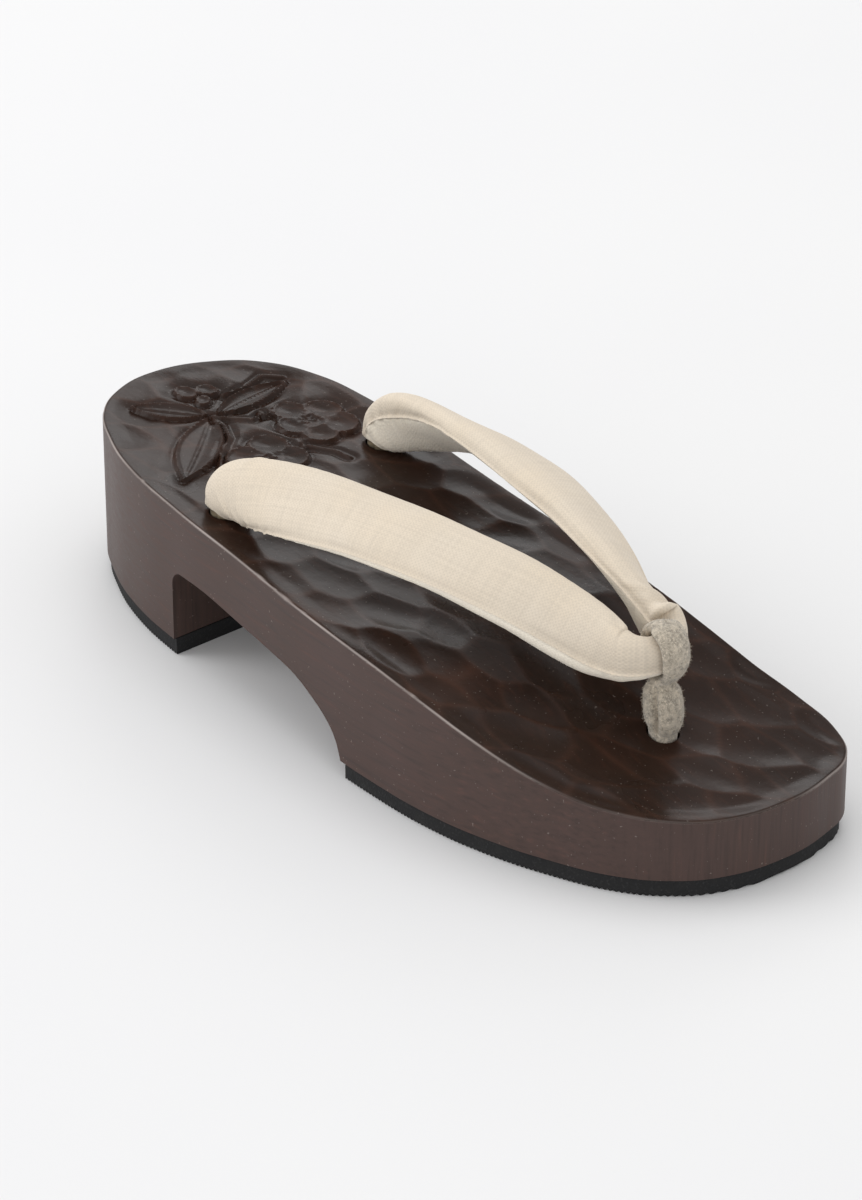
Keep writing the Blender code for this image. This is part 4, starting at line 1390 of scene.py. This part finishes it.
def thong_band():
    """The band of felt that loops round the strap's bend."""
    count = 73
    centre = np.array((-BEND_BACK, 0, bend_height()))
    reach_x = BEND_HALF_DEPTH + BAND_SLACK + BAND_THICKNESS / 2
    reach_z = BEND_HALF_HEIGHT + BAND_SLACK + BAND_THICKNESS / 2
    turns = np.linspace(0, 2 * math.pi, count)
    outward = np.column_stack([np.cos(turns), np.zeros(count), np.sin(turns)])
    places = centre + outward * (reach_x, 0, reach_z)
    rearward = np.maximum(0, -outward[:, 0]) ** 0.6
    half = BAND_HALF_WIDTH + (BAND_REAR_HALF_WIDTH - BAND_HALF_WIDTH) * rearward
    half *= 0.80 + 0.42 * ease(outward[:, 2], -0.95, -0.1) * ease(outward[:, 0], -0.5, 0.3)
    angles = np.tile(np.linspace(0, 2 * math.pi, 33), (count, 1))
    sideways = np.tile((0, 1.0, 0), (count, 1))
    thickness = np.full((count, 1), BAND_THICKNESS / 2)
    rings = ring_points(places, sideways, outward, half[:, None], thickness, angles)
    rings[..., 0] -= 0.0012 * (rings[..., 1] / 0.005) ** 2 * np.maximum(outward[:, :1], 0)
    return rings


def thong_body():
    """The pinched waist, the lobe with its groove, the cord through the hole and its knot."""
    ground = top_height(FRONT_HOLE_X)
    slope = math.atan((top_height(FRONT_HOLE_X + 0.004) - top_height(FRONT_HOLE_X - 0.004)) / 0.008)
    pocket_top = WOOD_BOTTOM + POCKET_DEPTH
    band_bottom = bend_height() - BEND_HALF_HEIGHT - BAND_SLACK - BAND_THICKNESS
    # Columns: place ahead of the hole, height, half length, half breadth, tilt
    rows = (
        (-BEND_BACK, band_bottom + BAND_THICKNESS * 0.7, 0.0026, 0.0030, 0),
        (-BEND_BACK, band_bottom + 0.0002, 0.0031, 0.0033, 0),
        (-0.0008, band_bottom - 0.0011, LOBE_HALF_WIDTH * 0.78, LOBE_HALF_WIDTH * 0.80, 0),
        (-0.0006, band_bottom - 0.0024, LOBE_HALF_WIDTH * 0.92, LOBE_HALF_WIDTH * 0.94, 0),
        (0, ground + 0.0060, LOBE_HALF_WIDTH, LOBE_HALF_WIDTH, slope / 2),
        (0, ground + 0.0026, LOBE_HALF_WIDTH * 0.96, LOBE_HALF_WIDTH * 0.94, slope),
        (0, ground + 0.0008, LOBE_HALF_WIDTH * 0.80, LOBE_HALF_WIDTH * 0.78, slope),
        (0, ground - 0.0004, CORD_RADIUS, CORD_RADIUS, slope),
        (0, pocket_top - CLEARANCE, CORD_RADIUS, CORD_RADIUS, 0),
        (0, pocket_top - 0.0010, KNOT_RADIUS, KNOT_RADIUS, 0),
        (0, pocket_top - 0.0055, KNOT_RADIUS, KNOT_RADIUS, 0),
        (0, pocket_top - 0.0070, KNOT_RADIUS * 0.6, KNOT_RADIUS * 0.6, 0),
    )
    table = smooth_rows(rows, 5)
    count = len(table)
    places = np.column_stack([table[:, 0], np.zeros(count), table[:, 1]])
    forward = np.column_stack([np.cos(table[:, 4]), np.zeros(count), np.sin(table[:, 4])])
    angles = np.tile(np.linspace(0, 2 * math.pi, 65), (count, 1))
    groove_at = math.radians(-73)
    away = np.abs((angles - groove_at + math.pi) % (2 * math.pi) - math.pi)
    below_band = 1 - ease(table[:, 1], band_bottom - 0.001, band_bottom + 0.001)
    lobe = ease(table[:, 1], ground, ground + 0.0015) * below_band
    pinch = 1 - lobe[:, None] * 0.42 * ridge(away, 0.14)
    sideways = np.tile((0, 1.0, 0), (count, 1))
    return ring_points(places, forward, sideways, table[:, 2:3] * pinch, table[:, 3:4] * pinch, angles)


def hairs(name, piece, count, length, radius, seed, material):
    """Short tapered hairs scattered over a piece, each bent a little its own way."""
    chance = np.random.default_rng(seed)
    middles, normals = faces_of(piece)
    areas = np.zeros(len(piece.data.polygons), np.float32)
    piece.data.polygons.foreach_get("area", areas)
    shown = middles[:, 2] > top_height(middles[:, 0]) + 0.0002
    weights = areas * shown
    chosen = chance.choice(len(areas), count, p=weights / weights.sum())
    root = middles[chosen] + chance.normal(0, 0.00008, (count, 3))
    away = unit(normals[chosen] + chance.normal(0, 0.65, (count, 3)))
    bend = unit(np.cross(away, chance.normal(0, 1, (count, 3))))
    size = length * chance.uniform(0.45, 1.15, count)[:, None]
    stations = (
        root - away * 0.0001,
        root + away * size * 0.5 + bend * size * 0.10,
        root + away * size + bend * size * 0.45,
    )
    side = unit(np.cross(away, bend))
    points = []
    for station, share in zip(stations, (1.0, 0.75, 0.18)):
        for turn in (0, 2.094, 4.189):
            points.append(station + (bend * math.cos(turn) + side * math.sin(turn)) * radius * share)
    vertices = np.stack(points, axis=1).reshape(-1, 3)
    faces = []
    for index in range(count):
        start = index * 9
        for ring in (0, 3):
            for corner in range(3):
                after = (corner + 1) % 3
                faces.append((start + ring + corner, start + ring + after,
                              start + ring + 3 + after, start + ring + 3 + corner))
        faces.append((start + 6, start + 7, start + 8))
        faces.append((start + 2, start + 1, start))
    mesh = bpy.data.meshes.new(name)
    mesh.from_pydata(vertices.tolist(), [], faces)
    made = bpy.data.objects.new(name, mesh)
    bpy.context.scene.collection.objects.link(made)
    finish_piece(made, [material], 60)
    return made


class GETA_OT_felt_thong(bpy.types.Operator):
    """Model the felt thong: band, waist, grooved lobe, knot and loose hairs"""

    bl_idname = "geta.felt_thong"
    bl_label = "Felt thong"

    def execute(self, context):
        settings = context.scene.geta_thong
        felt = wool_felt(settings)
        thong = closed_loft("felt_thong", on_strap_line(thong_body()))
        band = grid_piece("thong_band", on_strap_line(thong_band()))
        merge_points(band)
        cut(thong, band, "UNION")
        remesh = thong.modifiers.new("even_felt", "REMESH")
        remesh.mode = "VOXEL"
        remesh.voxel_size = FELT_CELL
        soften = thong.modifiers.new("soft_felt", "SMOOTH")
        soften.factor = 0.5
        soften.iterations = 2
        pick(thong)
        bpy.ops.object.modifier_apply(modifier="even_felt")
        bpy.ops.object.modifier_apply(modifier="soft_felt")
        finish_piece(thong, [felt], 80)
        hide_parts("maetsubo")
        nap = hairs("felt_hairs", thong, settings.hair_count, settings.hair_length, HAIR_RADIUS, 5, felt)
        return {"FINISHED"}


# Stage


def aimed_light(name, place, target, size, power):
    """A round soft light turned towards its target."""
    light = bpy.data.lights.new(name, "AREA")
    light.shape = "DISK"
    light.size = size
    light.energy = power
    holder = bpy.data.objects.new(name, light)
    holder.location = place
    holder.rotation_euler = (Vector(target) - Vector(place)).to_track_quat("-Z", "Y").to_euler()
    bpy.context.scene.collection.objects.link(holder)


class GETA_OT_stage(bpy.types.Operator):
    """Set the camera, the pale floor and the soft lights"""

    bl_idname = "geta.stage"
    bl_label = "Stage"

    def execute(self, context):
        camera = bpy.data.cameras.new("photo_angle")
        camera.lens = CAMERA_LENS
        camera.sensor_width = 36
        camera.clip_start = 0.05
        camera.clip_end = 20
        holder = bpy.data.objects.new("photo_angle", camera)
        holder.location = CAMERA_PLACE
        aim = Vector(CAMERA_AIM) - holder.location
        holder.rotation_euler = aim.to_track_quat("-Z", "Y").to_euler()
        context.scene.collection.objects.link(holder)
        context.scene.camera = holder
        deselect()
        bpy.ops.mesh.primitive_plane_add(size=8, location=(0, 0, -0.0001))
        floor = named("pale_floor")
        bpy.ops.object.transform_apply(location=True, rotation=True, scale=True)
        floor.data.materials.append(pale_paper())
        for name, place, target, width, power in LIGHT_ROWS:
            aimed_light(name, place, target, width, power)
        world = context.scene.world or bpy.data.worlds.new("soft_room")
        context.scene.world = world
        world.use_nodes = True
        room = world.node_tree.nodes["Background"]
        room.inputs["Color"].default_value = (*linear("#f0f0f0"), 1)
        room.inputs["Strength"].default_value = 0.95
        context.scene.view_settings.view_transform = "Standard"
        return {"FINISHED"}


class GETA_PT_panel(bpy.types.Panel):
    """Buttons for each piece, in the order they are made"""

    bl_idname = "GETA_PT_panel"
    bl_label = "Geta"
    bl_space_type = "VIEW_3D"
    bl_region_type = "UI"
    bl_category = "Geta"

    def draw(self, context):
        for operator, group in STEPS:
            self.layout.operator(operator)
            settings = getattr(context.scene, group, None)
            if settings:
                for name in settings.__class__.__annotations__:
                    self.layout.prop(settings, name)


STEPS = (
    ("geta.stage", ""),
    ("geta.carved_base", "geta_base"),
    ("geta.ribbed_treads", "geta_treads"),
    ("geta.padded_strap", "geta_strap"),
    ("geta.felt_thong", "geta_thong"),
)

SETTINGS = (
    ("geta_base", GetaBaseSettings),
    ("geta_treads", GetaTreadSettings),
    ("geta_strap", GetaStrapSettings),
    ("geta_thong", GetaThongSettings),
)

CLASSES = (
    GetaBaseSettings,
    GetaTreadSettings,
    GetaStrapSettings,
    GetaThongSettings,
    GETA_OT_stage,
    GETA_OT_carved_base,
    GETA_OT_ribbed_treads,
    GETA_OT_padded_strap,
    GETA_OT_felt_thong,
    GETA_PT_panel,
)


def register():
    """Register the classes and hang their settings on the scene."""
    for item in CLASSES:
        bpy.utils.register_class(item)
    for name, group in SETTINGS:
        setattr(bpy.types.Scene, name, bpy.props.PointerProperty(type=group))


def unregister():
    """Take the settings and the classes off again."""
    for name, _ in SETTINGS:
        delattr(bpy.types.Scene, name)
    for item in reversed(CLASSES):
        bpy.utils.unregister_class(item)


def main():
    """Make every piece in order."""
    register()
    bpy.ops.geta.stage()
    bpy.ops.geta.carved_base()
    bpy.ops.geta.ribbed_treads()
    bpy.ops.geta.padded_strap()
    bpy.ops.geta.felt_thong()


if __name__ == "__main__":
    main()
